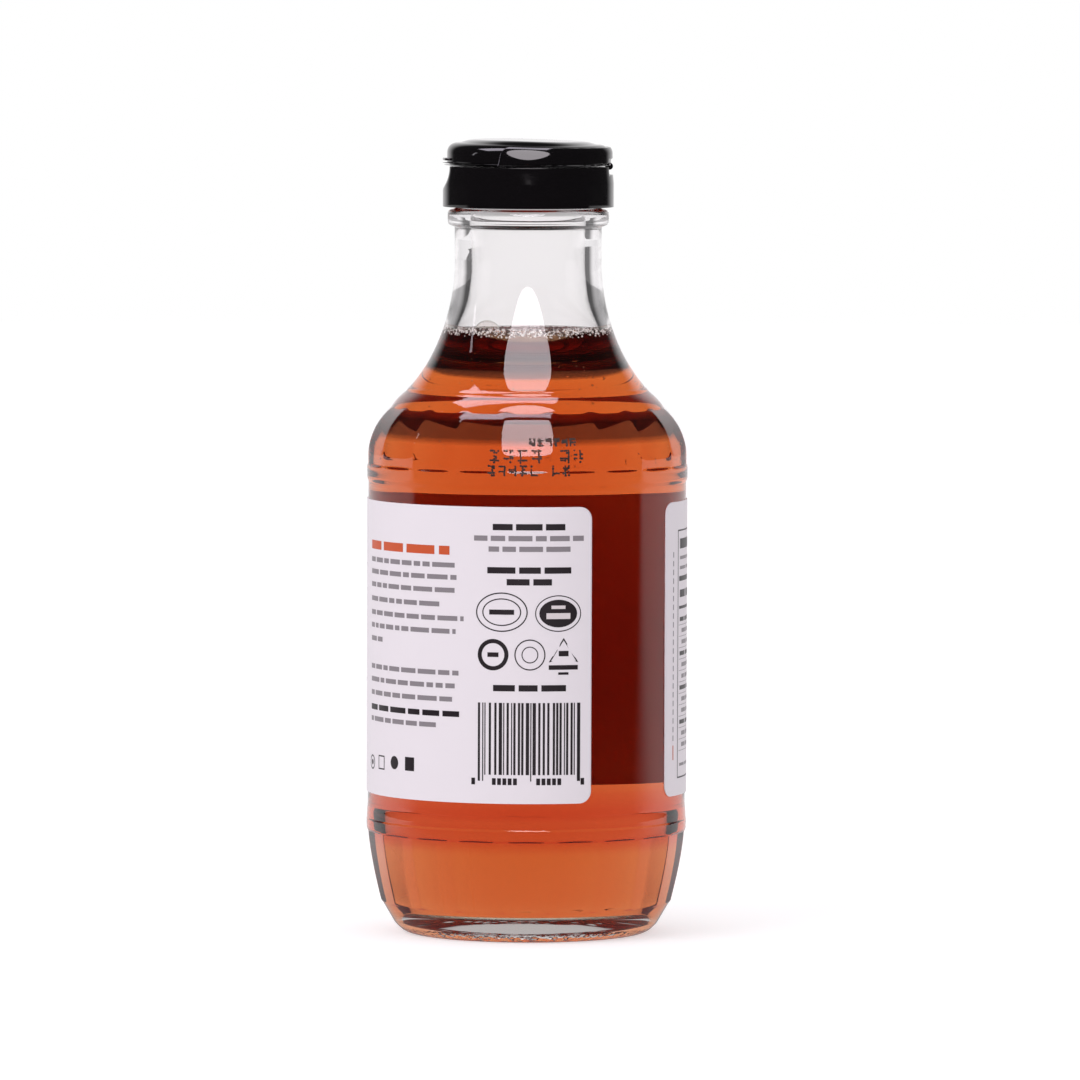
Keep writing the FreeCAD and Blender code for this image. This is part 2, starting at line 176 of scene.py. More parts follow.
def slab(outer, inner):
    """A closed sheet between two grids of the same size: both faces and four edges."""
    rows, columns = outer.shape[:2]
    n = rows * columns
    front = grid_faces(rows, columns, False)
    back = front[:, ::-1] + n
    grid = np.arange(n).reshape(rows, columns)
    edges = []
    for edge, flip in ((grid[0], True), (grid[-1], False), (grid[:, 0], False),
                       (grid[:, -1], True)):
        a, b = edge[:-1], edge[1:]
        quad = np.stack([a, b, b + n, a + n], -1)
        edges.append(quad[:, ::-1] if flip else quad)
    return np.concatenate([outer.reshape(-1, 3), inner.reshape(-1, 3)]), [front, back] + edges


def arc(centre, radius, start, end, count):
    """Points on a circle arc from one angle to another, in degrees."""
    t = np.radians(np.linspace(start, end, count))
    return np.stack([centre[0] + radius * np.cos(t), centre[1] + radius * np.sin(t)], -1)


def smooth_step(x, low, high):
    """0 below low, 1 above high, and 3t^2 - 2t^3 between."""
    t = np.clip((x - low) / (high - low), 0, 1)
    return t * t * (3 - 2 * t)


def wobble(angle, height, amount, seed, waves=9, long=40.0, short=11.0):
    """A gentle unevenness: a sum of sines whose wavelengths lie between short and long
    millimetres up the bottle, with a whole number of waves round it."""
    r = np.random.default_rng(seed)
    total = 0
    for _ in range(waves):
        around = r.integers(1, 9)
        up = 2 * np.pi / r.uniform(short, long)
        lean = r.choice([-1, 1])
        total = total + np.sin(around * angle + up * height * lean + r.uniform(0, 2 * np.pi))
    return amount * total / math.sqrt(waves)


# ------------------------------------------------------------ materials
def new_material(name, **values):
    """A Principled material with plain socket values."""
    material = bpy.data.materials.new(name)
    material.use_nodes = True
    shader = material.node_tree.nodes["Principled BSDF"]
    for key, value in values.items():
        shader.inputs[key.replace("_", " ")].default_value = value
    return material, material.node_tree, shader


def feed(tree, socket, value):
    """Links a socket to another node's output, or gives it a plain value."""
    if isinstance(value, bpy.types.NodeSocket):
        tree.links.new(value, socket)
    else:
        socket.default_value = value


def add(tree, kind, *sources, **settings):
    """A node whose first sockets take the sources in order, and whose other sockets and
    properties are set by name. Sources and settings are values or outputs of nodes."""
    node = tree.nodes.new(kind)
    for socket, source in zip(node.inputs, sources):
        feed(tree, socket, source)
    for key, value in settings.items():
        if key in node.inputs:
            feed(tree, node.inputs[key], value)
        else:
            setattr(node, key, value)
    return node


def maths(tree, operation, a, b):
    return add(tree, "ShaderNodeMath", a, b, operation=operation).outputs[0]


def times(tree, product, *factors):
    for factor in factors:
        product = maths(tree, "MULTIPLY", product, factor)
    return product


def over(tree, a, b):
    """1 where a is greater than b, else 0."""
    return maths(tree, "GREATER_THAN", a, b)


def ranged(tree, source, low, high, first, second, kind="SMOOTHSTEP"):
    """A value that goes from first to second while the source goes from low to high."""
    return add(tree, "ShaderNodeMapRange", source, low, high, first, second,
               interpolation_type=kind).outputs["Result"]


def mixed(tree, factor, first, second):
    """A shader that goes from first to second with the factor."""
    return add(tree, "ShaderNodeMixShader", factor, first, second).outputs[0]


def coloured(tree, source, stops):
    """A colour that follows the source: stops are (place from 0 to 1, colour)."""
    ramp = add(tree, "ShaderNodeValToRGB", source)
    elements = ramp.color_ramp.elements
    while len(elements) < len(stops):
        elements.new(0.5)
    for element, (place, colour) in zip(elements, stops):
        element.position, element.color = place, (*colour, 1)
    return ramp.outputs["Color"]


def on_object(tree, kind, **settings):
    """A texture on the object's own coordinates."""
    return add(tree, kind, Vector=add(tree, "ShaderNodeTexCoord").outputs["Object"], **settings)


def bumped(tree, shader, height, distance, strength=1.0):
    bump = add(tree, "ShaderNodeBump", Strength=strength, Distance=distance, Height=height)
    tree.links.new(bump.outputs["Normal"], shader.inputs["Normal"])


def noise_bump(tree, shader, scale, distance, strength=1.0):
    """Fine unevenness of the surface from noise on the object's own coordinates."""
    noise = on_object(tree, "ShaderNodeTexNoise", Scale=scale, Detail=2.0)
    bumped(tree, shader, noise.outputs["Fac"], distance, strength)
    return noise.outputs["Fac"]


def varied(tree, shader, noise, socket, low, high):
    """A socket that follows the noise between two values."""
    tree.links.new(ranged(tree, noise, 0.3, 0.7, low, high, "LINEAR"), shader.inputs[socket])


def by_height(tree, stops):
    """A colour that changes with height: stops are (height in mm, up to 200, colour)."""
    height = on_object(tree, "ShaderNodeSeparateXYZ").outputs["Z"]
    share = ranged(tree, height, 0.0, 0.2, 0.0, 1.0, "LINEAR")
    return coloured(tree, share, [(z / 200.0, colour) for z, colour in stops])


clear_glass, tree, shader = new_material(
    "clear_glass", Base_Color=(0.992, 0.976, 0.983, 1), Roughness=0.0, IOR=1.52,
    Transmission_Weight=1.0)
# moulded stipples on the foot, and a very slight waviness everywhere
foot = ranged(tree, on_object(tree, "ShaderNodeSeparateXYZ").outputs["Z"], 0.0008, 0.0022, 1.0, 0.0)
stipple = on_object(tree, "ShaderNodeTexVoronoi", Scale=900.0)
waves = on_object(tree, "ShaderNodeTexNoise", Scale=28.0, Detail=1.0)
bumped(tree, shader, maths(tree, "ADD", times(tree, stipple.outputs["Distance"], foot),
                           times(tree, waves.outputs["Fac"], 0.06)), 0.0003)
# where syrup lies against the wall there is almost no step in refraction; its tint by
# height paints shade: the dark bands under the neck and on the shoulder and the red one
# above the heel are painted shade, standing in for the shadowed floor seen through the syrup
RED_PAINTED_SHADE, SHOULDER_PAINTED_SHADE, NECK_PAINTED_SHADE = (0.90, 0.49, 0.62), (0.075, 0.06, 0.10), (0.09, 0.15, 0.20)
wet_glass, tree, shader = new_material(
    "glass_against_syrup", Base_Color=(1, 1, 1, 1), Roughness=0.0, IOR=1.027,
    Transmission_Weight=1.0)
tree.links.new(by_height(tree, (
    (8, (1, 1, 1)), (21.5, (1, 0.99, 0.99)), (24.0, RED_PAINTED_SHADE), (32.0, RED_PAINTED_SHADE),
    (37, (1, 0.97, 0.97)), (104, (1, 0.85, 0.72)), (112, (1, 0.74, 0.55)),
    (118.9, (1, 0.72, 0.45)), (119.8, SHOULDER_PAINTED_SHADE), (124.0, SHOULDER_PAINTED_SHADE),
    (124.6, (1, 0.70, 0.34)), (134.2, (1, 0.70, 0.34)), (135.6, NECK_PAINTED_SHADE),
    (141.0, NECK_PAINTED_SHADE), (142.4, (1, 1, 1)))), shader.inputs["Base Color"])

syrup_material, tree, shader = new_material(
    "amber_syrup", Base_Color=(1, 1, 1, 1), Roughness=0.0, IOR=1.48, Transmission_Weight=1.0)
# the free surface refracts; the sides, matched to the glass, don't
free = add(tree, "ShaderNodeAttribute", attribute_name="free_surface")
tree.links.new(ranged(tree, free.outputs["Fac"], 0.0, 1.0, 1.0, 1.48, "LINEAR"),
               shader.inputs["IOR"])
absorption = add(tree, "ShaderNodeVolumeAbsorption", Color=(0.872, 0.40, 0.0, 1), Density=50.0)
tree.links.new(absorption.outputs["Volume"], tree.nodes["Material Output"].inputs["Volume"])

label_film, tree, shader = new_material(
    "satin_label_film", Base_Color=(0.755, 0.705, 0.75, 1), Roughness=0.42,
    Specular_IOR_Level=0.35)
varied(tree, shader, noise_bump(tree, shader, 900.0, 0.00002, 0.25), "Roughness", 0.36, 0.5)


def ink(name, colour, roughness=0.38):
    material, tree, shader = new_material(
        name, Base_Color=(*colour, 1), Roughness=roughness, Specular_IOR_Level=0.3)
    noise_bump(tree, shader, 1500.0, 0.00001, 0.2)
    return material


black_ink = ink("black_print", (0.018, 0.012, 0.016))
grey_ink = ink("grey_print", (0.235, 0.21, 0.23))
orange_ink = ink("orange_print", (0.56, 0.085, 0.025))
pale_ink = ink("pale_print", (0.66, 0.60, 0.62))
code_ink = ink("date_dots", (0.02, 0.008, 0.006), 0.6)

cap_plastic, tree, shader = new_material(
    "black_gloss_plastic", Base_Color=(0.0030, 0.0024, 0.0030, 1), Roughness=0.07, IOR=1.49)
varied(tree, shader, noise_bump(tree, shader, 420.0, 0.00002, 0.03), "Roughness", 0.045, 0.075)

# a lighter plastic that paints a highlight along the lid's edge
painted_highlight_plastic, tree, shader = new_material(
    "plastic_edge_painted_highlight", Base_Color=(0.24, 0.22, 0.26, 1), Roughness=0.25)
noise_bump(tree, shader, 420.0, 0.00002, 0.05)

foam_material, tree, shader = new_material("syrup_foam", Roughness=0.12, IOR=1.4)
cells = on_object(tree, "ShaderNodeTexNoise", Scale=1400.0, Detail=1.0)
tree.links.new(coloured(tree, cells.outputs["Fac"], (
    (0.40, (0.16, 0.12, 0.11)), (0.56, (1.0, 0.97, 0.96)))), shader.inputs["Base Color"])

bubble_material, tree, shader = new_material(
    "bubble_film", Base_Color=(0.97, 0.95, 0.94, 1), Roughness=0.0, IOR=1.33,
    Transmission_Weight=1.0)
noise_bump(tree, shader, 600.0, 0.00001, 0.15)
speck_material, tree, shader = new_material(
    "small_bubbles", Base_Color=(1.0, 0.93, 0.85, 1), Roughness=0.0, IOR=1.5,
    Transmission_Weight=1.0)
noise_bump(tree, shader, 2500.0, 0.00001, 0.3)


# ------------------------------------------------------------ the glass
# columns: 20 facets of 18 degrees, closer together near the ridges
FACETS, HALF_FACET = 20, 9.0
half = np.array([1.3, 3.7, 5.6, 7.0, 7.8, 8.3, 8.7])
within = np.concatenate([[-HALF_FACET], -half[::-1], half])
ANGLE = np.radians((np.arange(FACETS)[:, None] * 2 * HALF_FACET + within[None, :]).ravel())
from_middle = np.abs(np.tile(within, FACETS))
# angle from the facet's middle, its peak at the ridge rounded over half a degree; a flat
# at distance d has the radius d / cos(angle)
soft = HALF_FACET - (np.sqrt((HALF_FACET - from_middle) ** 2 + 0.5 ** 2) - 0.14)
FACET = 1.0 / np.cos(np.radians(np.minimum(soft, HALF_FACET)))
NO_FLAT = 999.0

FLARE = np.array([  # radius, height: the concave flare of the neck
    (28.9, 131.1), (28.2, 132.0), (26.9, 133.5), (25.8, 135.0), (24.9, 136.4), (24.0, 137.9),
    (23.2, 139.3), (22.45, 140.8), (21.5, 143.0), (20.9, 144.4), (20.4, 145.9), (19.97, 147.3),
    (19.5, 148.8), (19.1, 150.2), (18.78, 151.7), (18.5, 153.1), (18.28, 154.6), (18.07, 156.0),
    (17.9, 157.5), (17.75, 159.5), (17.66, 162.0), (17.62, 165.0)])
flare_fit = np.polynomial.Polynomial.fit(FLARE[:, 1], FLARE[:, 0], 6)
HEEL = np.array([(34.85, 7.8), (35.0, 8.4), (35.7, 11.3), (36.4, 14.2), (37.0, 17.1),
                 (37.6, 21.0), (38.0, 23.6), (38.08, 24.8)])
heel_fit = np.polynomial.Polynomial.fit(HEEL[:, 1], HEEL[:, 0], 3)
PANEL = BODY_RADIUS - 0.35
SHOULDER = 23.1                          # radius of the ring that the shoulder's arc is round


def outer_profile():
    """Rows of the glass's outside from the middle of the punt to the lip: turned radius,
    height, and the distance of the facet flats, very large where there are none."""
    rows = []

    def put(points, flats=None):
        for i, (r, z) in enumerate(points):
            rows.append((r, z, NO_FLAT if flats is None else flats[i]))

    put([(0, 1.9), (5, 1.88), (10, 1.8), (15, 1.65), (19, 1.45), (21.6, 1.15), (23.0, 0.75),
         (24.0, 0.35), (24.8, 0.08), (25.6, 0.0), (26.4, 0.0), (27.1, 0.0)])
    put(arc((27.5, 4.5), 4.5, -90, -42, 9))
    put(np.linspace((31.35, 1.75), (34.55, 7.15), 10)[1:])
    z = np.array([7.35, 7.55, 7.75, 7.95, 8.2])
    flats = heel_fit(z)
    put(np.stack([34.6 + (z - 7.3) * 1.0, z], -1), flats)
    z = np.concatenate([np.linspace(8.6, 23.8, 17), [24.3, 24.6, 24.8]])
    put(np.stack([np.minimum(heel_fit(z) * 1.0123 + 0.05, BODY_RADIUS - 0.12), z], -1), heel_fit(z))
    z = np.array([24.95, 25.15, 25.4, 25.8, 26.5, 27.3, 27.5, 27.6, 27.72, 27.84, 27.95, 28.1,
                  28.5, 29.0, 29.5, 30.0, 30.5, 31.0, 31.5, 31.9])
    bulge = np.where(z < 27.4, 0.32 * np.sqrt(np.clip(1 - ((z - 27.4) / 3.35) ** 2, 0, 1)),
                     0.32 - 0.09 * smooth_step(z, 27.5, 27.95) - 0.23 * smooth_step(z, 28.1, 31.9))
    put(np.stack([PANEL + bulge, z], -1),
        np.where(z < 25.3, heel_fit(24.8) + (z - 24.8) * 1.6, NO_FLAT))
    put([(PANEL, 33.0), (PANEL, 45.0), (PANEL, 57.0), (PANEL, 70.0), (PANEL, 82.0),
         (PANEL, 94.0), (PANEL, 104.0), (PANEL, 107.6)])
    put([(PANEL, 108.6), (PANEL + 0.03, 109.0), (PANEL + 0.12, 109.3), (PANEL + 0.24, 109.6),
         (PANEL + 0.32, 109.95), (BODY_RADIUS, 110.5), (BODY_RADIUS, 111.6), (BODY_RADIUS, 112.3)])
    z = np.array([112.6, 112.8, 112.95, 113.1, 113.3, 113.6, 114.2, 115.0])
    flats = np.where(z < 113.2, BODY_RADIUS - 0.32 + (113.2 - z) * 1.3, BODY_RADIUS - 0.32)
    put(np.stack([np.full(len(z), BODY_RADIUS), z], -1), flats)
    t = np.radians(np.concatenate([np.linspace(2.5, 48.5, 24), [49.6, 50.3]]))
    put(np.stack([np.minimum(SHOULDER + 16.1 * np.cos(t), BODY_RADIUS),
                  115.0 + 15.3 * np.sin(t)], -1), SHOULDER + 15.25 * np.cos(t))
    # the collar: a cone a little crowned, then a small hollow fillet into the flare
    t = np.linspace(0.0, 1.0, 10)
    put(np.stack([32.85 - 3.65 * t + 0.3 * np.sin(np.pi * t), 126.95 + 3.85 * t], -1))
    put([(29.0, 131.1), (28.78, 131.4)])
    z = np.concatenate([[131.7, 132.0, 132.5], np.linspace(133.0, 160, 33)])
    put(np.stack([flare_fit(z), z], -1))
    neck = float(flare_fit(160.0))
    put([(neck, 162.0), (neck - 0.02, 164.5), (neck - 0.02, 167.0), (neck, 169.8)])
    z = np.linspace(170.25, 170.95, 7)
    put(np.stack([neck + 1.5 * smooth_step(z, 170.1, 171.0), z], -1))
    put([(19.22, 171.15), (19.34, 171.4), (19.42, 171.8), (19.45, 172.3), (19.46, 172.8),
         (19.44, 173.3), (19.36, 173.7), (19.2, 174.05), (18.95, 174.32), (18.5, 174.5),
         (18.0, 174.62), (17.5, 174.8), (17.3, 175.2), (17.3, 178.0), (17.3, 181.5), (17.2, 182.4),
         (16.9, 183.0), (16.4, LIP), (15.6, LIP), (15.0, LIP), (14.6, 183.1), (14.35, 182.6)])
    return np.array(rows)


def inner_profile():
    """Rows of the glass's inside from the lip down to the middle of the base."""
    z = np.concatenate([np.linspace(181.0, 160.0, 9), np.linspace(158.5, 133.2, 30)])
    # the flare's outside moved inwards along its own slope by the wall
    r0, slope = flare_fit(np.clip(z, 131, 160)), flare_fit.deriv()(np.clip(z, 131, 160))
    length = np.sqrt(1 + slope ** 2)
    wall = 3.2 + 0.85 * smooth_step(z, 147, 156) * smooth_step(-z, -178, -168)
    flare = np.stack([r0 - wall / length, z + wall * slope / length], -1)
    flare = flare[flare[:, 1] > 129.3]
    t = np.linspace(0, 1, 5)[1:]
    end = flare[-1]
    top = arc((SHOULDER, 114.6), 12.3, 64, 64, 1)[0]
    collar = end + (top - end) * t[:, None]
    shoulder = arc((SHOULDER, 114.6), INSIDE_RADIUS - SHOULDER, 62, 0, 20)
    body = np.stack([np.full(26, INSIDE_RADIUS), np.linspace(113.0, 14.0, 26)], -1)
    corner = arc((INSIDE_RADIUS - 6.0, 13.1), 6.0, 0, -88, 15)
    bottom = np.array([(24.0, 7.1), (19.0, 7.15), (15.0, 7.2), (9.0, 7.3), (4.0, 7.4), (0.0, 7.4)])
    return np.concatenate([flare, collar, shoulder, body, corner, bottom])


profile = outer_profile()
turned_radius, flats = profile[:, :1], profile[:, 2:3] * FACET[None, :]
SHARP = 14.0
# the smaller of the turned radius and the flats, with the edge between them softened
outer_radius = 30 - np.log(np.exp(-SHARP * (turned_radius - 30))
                           + np.exp(-SHARP * (flats - 30))) / SHARP
outer_radius = np.where(profile[:, 2:3] == NO_FLAT, turned_radius, outer_radius)
outer_height = profile[:, 1:2]
outer_radius = outer_radius + np.where(
    (outer_height > 8) & (outer_height < 168), wobble(ANGLE[None, :], outer_height, 0.012, 5), 0)
outer_radius = np.minimum(outer_radius, BODY_RADIUS)

inner = inner_profile()
inner_height = inner[:, 1:2]
uneven = wobble(ANGLE[None, :], inner_height, 0.11, 8, 12, 46.0, 13.0)
uneven = uneven * smooth_step(inner_height, 8, 22)
uneven = uneven * (1 - 0.85 * smooth_step(inner_height, 132, 146))
inner_radius = inner[:, :1] + uneven
inner_radius[-1] = 0

radius = np.concatenate([outer_radius, inner_radius])
height = np.concatenate([outer_height, inner_height])
wet = np.concatenate([np.zeros(len(outer_radius), int),
                      (inner_height[:, 0] < LEVEL + 0.2).astype(int)])
glass = closed_turned("bottle_glass_shell", radius, height, ANGLE, [clear_glass, wet_glass],
                      "bottle", wet)
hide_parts("bottle_glass")

# ------------------------------------------------------------ the syrup
# the inside of the glass from its base to the level, carried 0.12 mm into the wall,
# then a surface whose rim climbs the wall by 0.9 e^(-distance / 1.1)
REACH = 0.12
from_base = inner[::-1]
keep = from_base[:, 1] < LEVEL - 0.4
side = from_base[keep]
step = np.gradient(side, axis=0)
normal = np.stack([step[:, 1], -step[:, 0]], -1)
normal /= np.linalg.norm(normal, axis=1)[:, None] + 1e-12
normal[0] = (0, -1)
side = side + normal * REACH
side_radius = side[:, :1] + uneven[::-1][keep]
side_radius[0] = 0
rim_index = int(np.argmin(np.abs(inner[:, 1] - LEVEL)))
rim = np.interp(LEVEL, inner[::-1][keep][-8:, 1], inner[::-1][keep][-8:, 0])
above, below = inner[rim_index - 1], inner[rim_index + 1]
rim_slope = (above[0] - below[0]) / (above[1] - below[1])
wall_z = LEVEL + np.array([-0.2, 0.1, 0.4, 0.7, 0.9])
wall_r = rim + rim_slope * (wall_z - LEVEL)
climb = np.stack([wall_r + REACH, wall_z], -1)
inward = np.array([0.0, 0.25, 0.55, 0.95, 1.5, 2.3, 3.4, 5.0, 7.5, 10.5, 13.5])
surface_r = wall_r[-1] - inward
surface_z = LEVEL + 0.9 * np.exp(-inward / 1.1)
surface = np.stack([surface_r, surface_z], -1)
surface = np.concatenate([surface[surface[:, 0] > 1.0], [[0.0, LEVEL]]])
extra = np.concatenate([climb, surface])
edge_uneven = 0.15 * wobble(ANGLE[None, :], np.full((1, 1), LEVEL), 0.11, 8, 12, 46.0, 13.0)
extra_radius = extra[:, :1] + edge_uneven * np.clip(extra[:, :1] / rim, 0, 1) ** 6
extra_radius[-1] = 0
syrup = closed_turned("syrup_filling", np.concatenate([side_radius, extra_radius]),
                      np.concatenate([side[:, 1:2], extra[:, 1:2]]), ANGLE, [syrup_material],
                      "bottle")
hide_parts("syrup")
# 1 on the faces of the free surface, 0 on the sides and the base
free = syrup.data.attributes.new("free_surface", "FLOAT", "FACE")
side_faces = (len(side_radius) - 2 + len(climb)) * len(ANGLE)
marks = np.zeros(len(syrup.data.polygons), np.float32)
marks[side_faces:] = 1
marks[-2 * len(ANGLE):-len(ANGLE)] = 0        # the first fan closes the base
free.data.foreach_set("value", marks)

# ------------------------------------------------------------ bubbles
BALL_ROUND, BALL_UP = 7, 5


def balls(name, centres, sizes, material):
    """Many small closed balls in one mesh: each is a ring grid of 7 by 5 with two poles."""
    centres, sizes = np.asarray(centres, float), np.asarray(sizes, float)
    lat = np.radians(np.linspace(-90, 90, BALL_UP + 2))[1:-1]
    lon = np.arange(BALL_ROUND) * 2 * np.pi / BALL_ROUND
    unit = np.stack([np.cos(lat)[:, None] * np.cos(lon), np.cos(lat)[:, None] * np.sin(lon),
                     np.broadcast_to(np.sin(lat)[:, None], (BALL_UP, BALL_ROUND))], -1)
    unit = np.concatenate([unit.reshape(-1, 3), [[0, 0, -1], [0, 0, 1]]])
    points = centres[:, None, :] + unit[None] * sizes[:, None, None]
    start = np.arange(len(centres)) * len(unit)
    faces = [(f[None] + start[:, None, None]).reshape(-1, f.shape[1])
             for f in pole_faces(BALL_UP, BALL_ROUND)]
    return make_object(name, points, faces, [material], "bottle")


def inner_radius_at(z):
    order = np.argsort(inner[:, 1])
    return np.interp(z, inner[order, 1], inner[order, 0])


count = 230
rows_down = np.array([0.50, 0.16, -0.2, -0.55, -0.9, -1.3])
keep_share = np.array([1.0, 1.0, 1.0, 0.9, 0.55, 0.2])
around, down, size = [], [], []
for row, (offset, share) in enumerate(zip(rows_down, keep_share)):
    place = np.arange(count) + 0.5 * (row % 2) + rng.uniform(-0.25, 0.25, count)
    angle = place * 2 * np.pi / count
    # fewer toward the back, where the ring thins out
    kept = rng.random(count) < share * (0.42 + 0.58 * smooth_step(np.cos(angle), -0.3, 0.3))
    around.append(angle[kept])
    down.append((LEVEL + offset + rng.normal(0, 0.1, count))[kept])
    size.append(rng.uniform(0.17, 0.33, count)[kept])
around, down, size = np.concatenate(around), np.concatenate(down), np.concatenate(size)
from_axis = inner_radius_at(down) - size * 1.05 - rng.uniform(0, 0.2, len(size))
balls("foam_ring", polar(from_axis, around, down), size, foam_material)

count = 300
around = rng.uniform(0, 2 * np.pi, count)
up = rng.uniform(112, LEVEL - 4, count)
deep = inner_radius_at(up) - rng.exponential(2.2, count) - 0.5
size = np.clip(rng.exponential(0.06, count) + 0.09, 0.09, 0.3)
balls("small_bubbles", polar(np.clip(deep, 2, 60), around, up), size, speck_material)

# one large bubble resting on the surface near the wall: a thin domed film
BUBBLE_RADIUS, FILM = 2.75, 0.07
t = np.radians(np.linspace(90, 0, 14))
film_out = np.stack([BUBBLE_RADIUS * np.cos(t), BUBBLE_RADIUS * np.sin(t)], -1)
film_in = film_out[::-1] * ((BUBBLE_RADIUS - FILM) / BUBBLE_RADIUS)
ring = np.concatenate([film_out, film_in])[::-1]
spin = np.radians(np.arange(0, 360, 9.0))
closed_turned("large_bubble", ring[:, :1], ring[:, 1:2], spin, [bubble_material], "bottle",
              centre=(-9.3, -8.4, LEVEL + 0.02))

# ------------------------------------------------------------ the label
GAP_START, GAP_END, CORNER = 23.6, 59.4, 3.0


def label_grid(radius):
    """The label as a sheet on a cylinder: rows from the lower to the upper edge; near the
    corners each row is shortened by CORNER - sqrt(CORNER^2 - distance^2)."""
    z0, z1 = label_low[2], label_high[2]
    near = CORNER * (1 - np.cos(np.radians(np.linspace(0, 90, 9))))
    z = np.concatenate([z0 + near, np.linspace(z0 + CORNER, z1 - CORNER, 26)[1:-1],
                        z1 - near[::-1]])
    d = np.clip(CORNER - np.minimum(z - z0, z1 - z), 0, CORNER)
    cut = np.degrees((CORNER - np.sqrt(np.clip(CORNER ** 2 - d ** 2, 0, None))) / radius)
    start, end = GAP_END + cut, 360 + GAP_START - cut
    u = np.concatenate([[0, 0.002], np.linspace(0.006, 0.994, 160), [0.998, 1]])
    angle = np.radians(start[:, None] + (end - start)[:, None] * u[None, :])
    return polar(radius, angle, z[:, None])


points, faces = slab(label_grid(LABEL_RADIUS), label_grid(PANEL - 0.05))
label = make_object("wrap_label_sheet", points, faces, [label_film], "bottle")
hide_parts("wrap_label")

PRINT_RADIUS = LABEL_RADIUS + 0.025
TOP = label_high[2]


class Print:
    """Flat shapes on the label, in millimetres round from the front column and down from
    the upper edge; each becomes a patch bent to the label's cylinder."""

    def __init__(self, radius=PRINT_RADIUS):
        self.points, self.faces, self.count, self.radius = [], {3: [], 4: []}, 0, radius

    def put(self, s, d, faces):
        angle = np.asarray(s, float) / self.radius
        self.points.append(polar(self.radius, angle, TOP - np.asarray(d, float)))
        self.faces[faces.shape[1]].append(faces + self.count)
        self.count += len(angle)

    def bar(self, s0, s1, d0, d1):
        """A rectangle, divided every 1.5 mm round the label."""
        n = max(2, int(abs(s1 - s0) / 1.5) + 2)
        s = np.concatenate([np.linspace(s0, s1, n)] * 2)
        d = np.concatenate([np.full(n, max(d0, d1)), np.full(n, min(d0, d1))])
        self.put(s, d, grid_faces(2, n, False))

    def ring(self, s, d, a, b, width, n=48):
        """The space between an ellipse and the same ellipse made smaller by width."""
        t = np.arange(n) * 2 * np.pi / n
        out = np.stack([s + (a - width) * np.cos(t), d - (b - width) * np.sin(t)], -1)
        rim = np.stack([s + a * np.cos(t), d - b * np.sin(t)], -1)
        both = np.concatenate([rim, out])
        self.put(both[:, 0], both[:, 1], grid_faces(2, n, True))

    def disc(self, s, d, a, b, n=32):
        """A filled ellipse: rings of points at equal steps of its size, and a fan in the middle."""
        rings = max(1, int(max(a, b) / 0.7))
        t = np.arange(n) * 2 * np.pi / n
        part = np.arange(rings, 0, -1)[:, None] / rings
        last = (rings - 1) * n
        self.put(np.append((s + a * part * np.cos(t)).ravel(), s),
                 np.append((d - b * part * np.sin(t)).ravel(), d), fan_faces(rings * n, last, n))
        if rings > 1:
            self.faces[4].append(grid_faces(rings, n, True) + self.count - rings * n - 1)

    def outline(self, corners, width):
        """A closed line of the given width inside a triangle: each inner corner lies on
        the way to the middle, far enough that the sides move in by width."""
        corners = np.asarray(corners, float)
        middle = corners.mean(0)
        side = np.roll(corners, -1, 0) - corners
        offset = middle - corners
        apart = np.abs(side[:, 0] * offset[:, 1] - side[:, 1] * offset[:, 0])
        apart = apart / np.linalg.norm(side, axis=1)
        inner = middle + (corners - middle) * (1 - width / apart.min())
        both = np.concatenate([corners, inner])
        self.put(both[:, 0], both[:, 1], grid_faces(2, len(corners), True))

    def frame(self, s0, s1, d0, d1, width):
        self.bar(s0, s1, d0, d0 + width)
        self.bar(s0, s1, d1 - width, d1)
        self.bar(s0, s0 + width, d0 + width, d1 - width)
        self.bar(s1 - width, s1, d0 + width, d1 - width)

    def words(self, s0, s1, d, tall, seed, shortest, longest, gap):
        """A line of plain bars of uneven length in place of words."""
        r = np.random.default_rng(seed)
        at = s0
        while at < s1 - 0.8:
            end = min(at + r.uniform(shortest, longest), s1)
            if s1 - end < shortest * 0.6:
                end = s1
            self.bar(at, end, d - tall / 2, d + tall / 2)
            at = end + gap

    def build(self, name, material):
        faces = [np.concatenate(f) for f in self.faces.values() if f]
        return make_object(name, np.concatenate(self.points), faces, [material], "bottle")


black, grey, orange, pale = Print(), Print(), Print(), Print(PRINT_RADIUS + 0.02)

# the front column
black.words(-8.2, 9.2, 4.75, 1.5, 1, 3.0, 6.5, 0.8)
grey.words(-12.8, 13.8, 7.45, 1.25, 2, 2.2, 6.5, 0.8)
grey.words(-9.2, 10.5, 10.0, 1.25, 3, 2.2, 6.5, 0.8)
black.words(-9.5, 10.7, 15.05, 1.5, 4, 3.2, 7.0, 0.9)
black.words(-4.8, 6.0, 17.85, 1.5, 5, 3.2, 6.0, 0.9)
black.ring(-6.0, 25.0, 6.25, 4.7, 0.3)
black.ring(-6.0, 25.0, 4.7, 3.3, 0.28)
black.bar(-9.0, -3.0, 24.4, 25.6)
black.ring(7.6, 25.3, 5.6, 4.35, 0.24)
black.disc(7.6, 25.3, 4.6, 3.3)
pale.bar(5.9, 9.3, 23.4, 24.2)
pale.bar(4.7, 10.5, 25.2, 26.6)
black.ring(-8.05, 35.15, 3.75, 3.75, 1.0)
black.bar(-9.4, -6.7, 34.6, 35.7)
black.ring(0.8, 35.15, 3.7, 3.7, 0.28)
black.ring(0.8, 35.15, 2.0, 2.0, 0.24)
black.outline([(5.3, 36.9), (12.5, 36.9), (8.9, 31.1)], 0.3)
black.bar(7.7, 10.1, 34.2, 35.5)
black.bar(5.3, 12.4, 37.6, 38.7)
black.bar(7.6, 10.1, 39.3, 39.9)
black.words(-8.0, 9.5, 43.1, 1.5, 6, 3.2, 7.0, 0.9)
